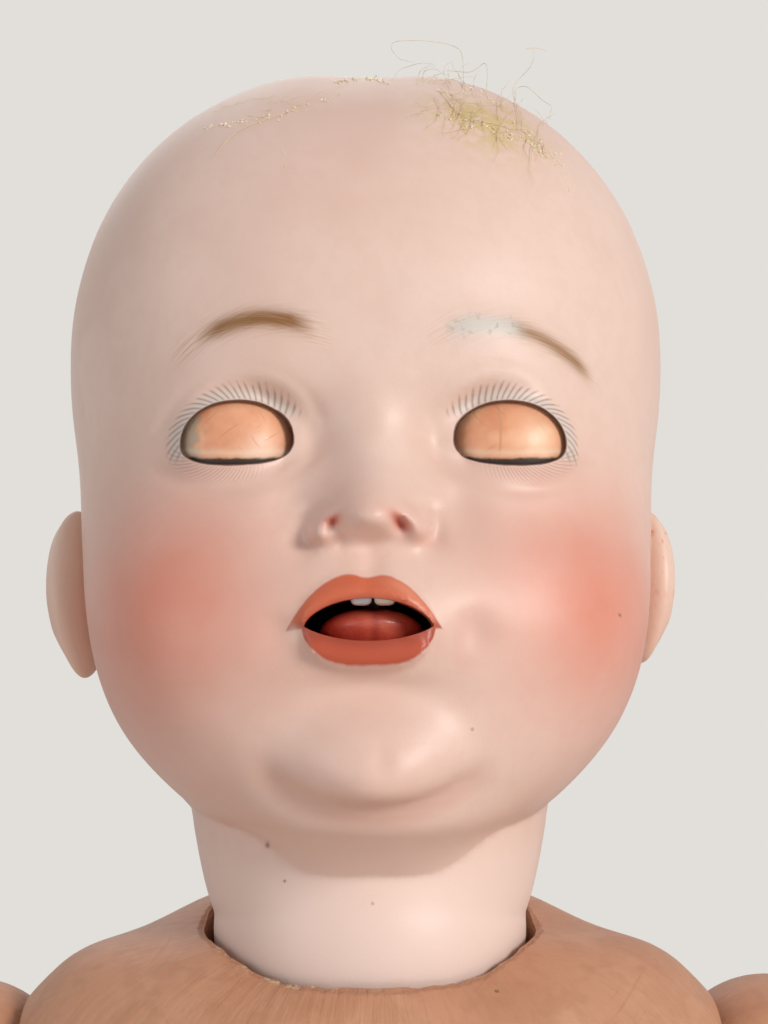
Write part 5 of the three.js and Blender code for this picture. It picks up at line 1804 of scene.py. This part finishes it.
make_piece("neck_leather", liner_body(), body_frame, leather_finish(), "neck_liner", ["neck_liner"])

# Elastics inside the body, with the hooks' eyes and the bends that they run through
hook_bend_up = 169
hook_bend_back = 6
hook_bend_reach = 3.6
hook_bend_angle = math.radians(73.3)
arm_eye = (61, 0, shoulder_height)
leg_eye = (38.85, 0, 39.47)
arm_bends = [(10, 5, shoulder_height), (5, 5, shoulder_height)]
leg_bends = []
for share in (1, 0.75, 0.5, 0.25):
    across = hook_bend_reach * math.sin(hook_bend_angle * share)
    leg_bends.append((across, hook_bend_back, hook_bend_up + hook_bend_reach * math.cos(hook_bend_angle * share)))
cotton = elastic_finish("elastic_cotton")
leg_way = Vector(leg_bends[0]) - Vector(leg_eye)
for kind, eye, way, bends in (("arm", arm_eye, (-1, 0, 0), arm_bends), ("leg", leg_eye, leg_way, leg_bends)):
    cord = elastic_body(eye, way, bends)
    make_piece(kind + "_cord", cord, body_frame, cotton, "torso", [kind + "_elastic"])


# Wig glue and mohair left on the crown, placed where the photograph shows them
crown = bmesh.new()
crown.from_mesh(head.data)
crown.from_mesh(pate.data)
crown_tree = BVHTree.FromBMesh(crown)
crown.free()
crown_depth = (head_frame @ crown_front - camera_place).dot(camera_forward)


def on_head(across, down, lift):
    """Point of the head under a point of the photograph, or level with the crown beside it, in head millimetres."""
    ray = photo_ray(across, down)
    hit, normal = crown_tree.ray_cast(camera_place, ray)[:2]
    if hit is None:
        return in_head(camera_place + ray * (crown_depth / ray.dot(camera_forward)))
    return in_head(hit + normal * lift * MM)


def crumb(spot, size):
    bm = bmesh.new()
    bmesh.ops.create_icosphere(bm, subdivisions=1, radius=size)
    for vert in bm.verts:
        vert.co = vert.co * chance.uniform(0.65, 1.25)
    turn = Matrix.Rotation(chance.uniform(0, 6), 4, "Z") @ Matrix.Rotation(chance.uniform(0, 6), 4, "X")
    bm.transform(Matrix.Translation(spot) @ turn @ Matrix.Diagonal((1, chance.uniform(0.6, 1.5), 0.6, 1)))
    return bm


def crumbs_along(line, count, spread, small, large):
    parts = []
    for _ in range(count):
        share = chance.random() * (len(line) - 1)
        i = int(share)
        start, end = Vector(line[i]), Vector(line[i + 1])
        spot = start.lerp(end, share - i) + Vector((chance.gauss(0, spread), chance.gauss(0, spread * 0.7)))
        size = small + (large - small) * chance.random() ** 2.5
        parts.append(crumb(on_head(spot.x, spot.y, size * 0.3), size))
    return parts


glue_lines = [
    ([(206, 128), (240, 122), (282, 116), (312, 105), (340, 97)], 90, 3.0, 0.12, 0.45),
    ([(285, 150), (287, 175)], 10, 3, 0.1, 0.25),
    ([(335, 82), (350, 80), (375, 79), (387, 83)], 60, 1.6, 0.15, 0.5),
    ([(437, 92), (470, 92), (512, 106)], 50, 2.4, 0.12, 0.5),
    ([(440, 112), (475, 124), (520, 136), (552, 158)], 150, 5.5, 0.12, 0.55),
    ([(552, 158), (575, 190)], 16, 3, 0.1, 0.3),
]
crumbs = [part for line in glue_lines for part in crumbs_along(*line)]
make_piece("wig_glue", gathered(crumbs), head_frame, glue_finish(), "head")


def hair(line, lift=0.25, radius=0.06):
    points = [on_head(across, down, lift + 0.25 * (i % 2)) for i, (across, down) in enumerate(line)]
    return strand(points, radius, 0.5, 5, 8 * len(points))


def loose_hair(across, down, heading, length, curl):
    """One hair that lies on the crown and wanders as it goes."""
    line = [(across, down)]
    for _ in range(6):
        heading += chance.gauss(curl, 0.22)
        across += math.cos(heading) * length / 6
        down += math.sin(heading) * length / 6
        line.append((across, down))
    return hair(line, chance.uniform(0.1, 0.6), chance.uniform(0.035, 0.06))


stray_hairs = [
    [(216, 156), (230, 140), (250, 127), (270, 120), (292, 111), (325, 92), (345, 87)],
    [(463, 92), (462, 55), (450, 45), (425, 41), (400, 41), (392, 44), (392, 50), (400, 59), (415, 62)],
    [(392, 82), (400, 70), (422, 63), (437, 66)],
    [(486, 96), (486, 64), (470, 72), (445, 71), (435, 80)],
    [(514, 104), (514, 86), (530, 67), (534, 55), (532, 49)],
    [(526, 49), (536, 48), (547, 51)],
    [(514, 108), (516, 90), (527, 87), (542, 100), (551, 106), (550, 114), (550, 120)],
    [(437, 90), (462, 118), (500, 126), (537, 144), (562, 168)],
]
hairs = [hair(line) for line in stray_hairs]
for _ in range(46):
    across = chance.uniform(432, 545)
    down = 100 + (across - 432) * 0.36 + chance.gauss(0, 7)
    hairs.append(loose_hair(across, down, chance.uniform(-3.1, 3.1), chance.uniform(16, 46), chance.uniform(-0.2, 0.2)))
for _ in range(12):
    across = chance.uniform(412, 470)
    hairs.append(loose_hair(across, chance.uniform(80, 92), chance.uniform(-2.6, -0.5), chance.uniform(16, 34), 0.25))
for _ in range(8):
    hairs.append(loose_hair(chance.uniform(210, 330), chance.uniform(100, 126), 0.1, chance.uniform(14, 34), -0.1))
make_piece("mohair_wisps", gathered(hairs), head_frame, mohair_finish(), "head")

# Finer finishes on the plain inner parts that CAD shows
sideways = body_frame @ quarter_turn("Y")
plaster = plaster_finish()
cork = cork_finish()
lead = lead_finish()
eye_wire = wire_finish("eye_wire", head_frame)
hook_wire = wire_finish("hook_wire", body_frame)
neck_wood = wood_finish("neck_beech", body_frame)
limb_wood = wood_finish("limb_beech", sideways)
kept_finishes = {
    "eye_seat_left": plaster, "eye_seat_right": plaster, "tongue_pad": plaster, "weight_stop": cork,
    "lead_weight": lead, "eye_bridge": eye_wire, "weight_arm": eye_wire, "tongue_spring": eye_wire,
    "neck_plug": neck_wood, "neck_washer": hook_wire, "neck_hook": hook_wire,
}
for word in ("left", "right"):
    for joint in ("shoulder", "hip"):
        kept_finishes[joint + "_plug_" + word] = limb_wood
        kept_finishes[joint + "_hook_" + word] = hook_wire
for node, finish in kept_finishes.items():
    for slot in frame["nodes"][node].material_slots:
        slot.material = finish

# Floor, backdrop and light
paper_colour = (226, 223, 218)


def floor_finish():
    """Pale paper that the camera sees fade into the background further off."""
    f = Finish("floor_paper", Matrix.Scale(MM, 4), paper_colour, 0.9)
    f.blotches((220, 217, 211), 90, 301, 2, 0.4, 0.7, 0.6)
    material = f.done()
    tree = f.tree
    path = tree.nodes.new("ShaderNodeLightPath")
    far = step(f.from_middle(), 260, 900)
    glow = tree.nodes.new("ShaderNodeEmission")
    glow.inputs["Color"].default_value = paint(*paper_colour)
    blend = tree.nodes.new("ShaderNodeMixShader")
    feed(tree, blend.inputs[0], far * Shade(tree, path.outputs["Is Camera Ray"]))
    tree.links.new(f.shader.outputs[0], blend.inputs[1])
    tree.links.new(glow.outputs[0], blend.inputs[2])
    output = next(node for node in tree.nodes if node.type == "OUTPUT_MATERIAL")
    tree.links.new(blend.outputs[0], output.inputs["Surface"])
    return material


floor_bm = bmesh.new()
bmesh.ops.create_circle(floor_bm, cap_ends=True, segments=128, radius=4)
floor = linked("floor", mesh_of(floor_bm, "floor"))
floor.data.materials.append(floor_finish())

world = bpy.data.worlds.new("studio")
scene.world = world
world.use_nodes = True
tree = world.node_tree
background = tree.nodes["Background"]
path = tree.nodes.new("ShaderNodeLightPath")
seen = reckon(tree, "MAXIMUM", path.outputs["Is Camera Ray"], path.outputs["Is Glossy Ray"])
seen = reckon(tree, "MAXIMUM", seen, path.outputs["Is Transmission Ray"])
sky = tree.nodes.new("ShaderNodeMix")
sky.data_type = "RGBA"
feed(tree, sky.inputs[0], seen)
sky.inputs[6].default_value = (0.36, 0.365, 0.38, 1)
sky.inputs[7].default_value = paint(*paper_colour)
tree.links.new(sky.outputs[2], background.inputs["Color"])


def lamp(name, place, aim, size, power, tint):
    light = bpy.data.lights.new(name, "AREA")
    light.shape = "DISK"
    light.size = size
    light.energy = power
    light.color = tint
    turn = (Vector(aim) - Vector(place)).to_track_quat("-Z", "Y").to_matrix().to_4x4()
    linked(name, light).matrix_world = Matrix.Translation(place) @ turn


chest = (0, 0, 0.28)
lamp("key", (1.25, -1.35, 1.0), chest, 0.7, 26, (1, 0.985, 0.96))
lamp("fill", (-1.5, -1.2, 0.5), chest, 1.2, 6, (0.96, 0.98, 1))
lamp("back", (-0.4, 1.6, 1.4), chest, 1.4, 5, (1, 1, 1))

# Camera
camera_data = bpy.data.cameras.new("camera")
camera_data.sensor_fit = "VERTICAL"
camera_data.sensor_height = sensor_height
camera_data.lens = sensor_height * photo_focal / photo_height
camera_data.shift_x = (photo_width / 2 - photo_axis_x) / photo_height
camera_data.clip_start = 0.01
scene.camera = linked("camera", camera_data)
turn = Matrix((camera_right, Vector((0, 0, 1)), -camera_forward)).transposed().to_4x4()
scene.camera.matrix_world = Matrix.Translation(camera_place) @ turn
scene.view_settings.view_transform = "Standard"
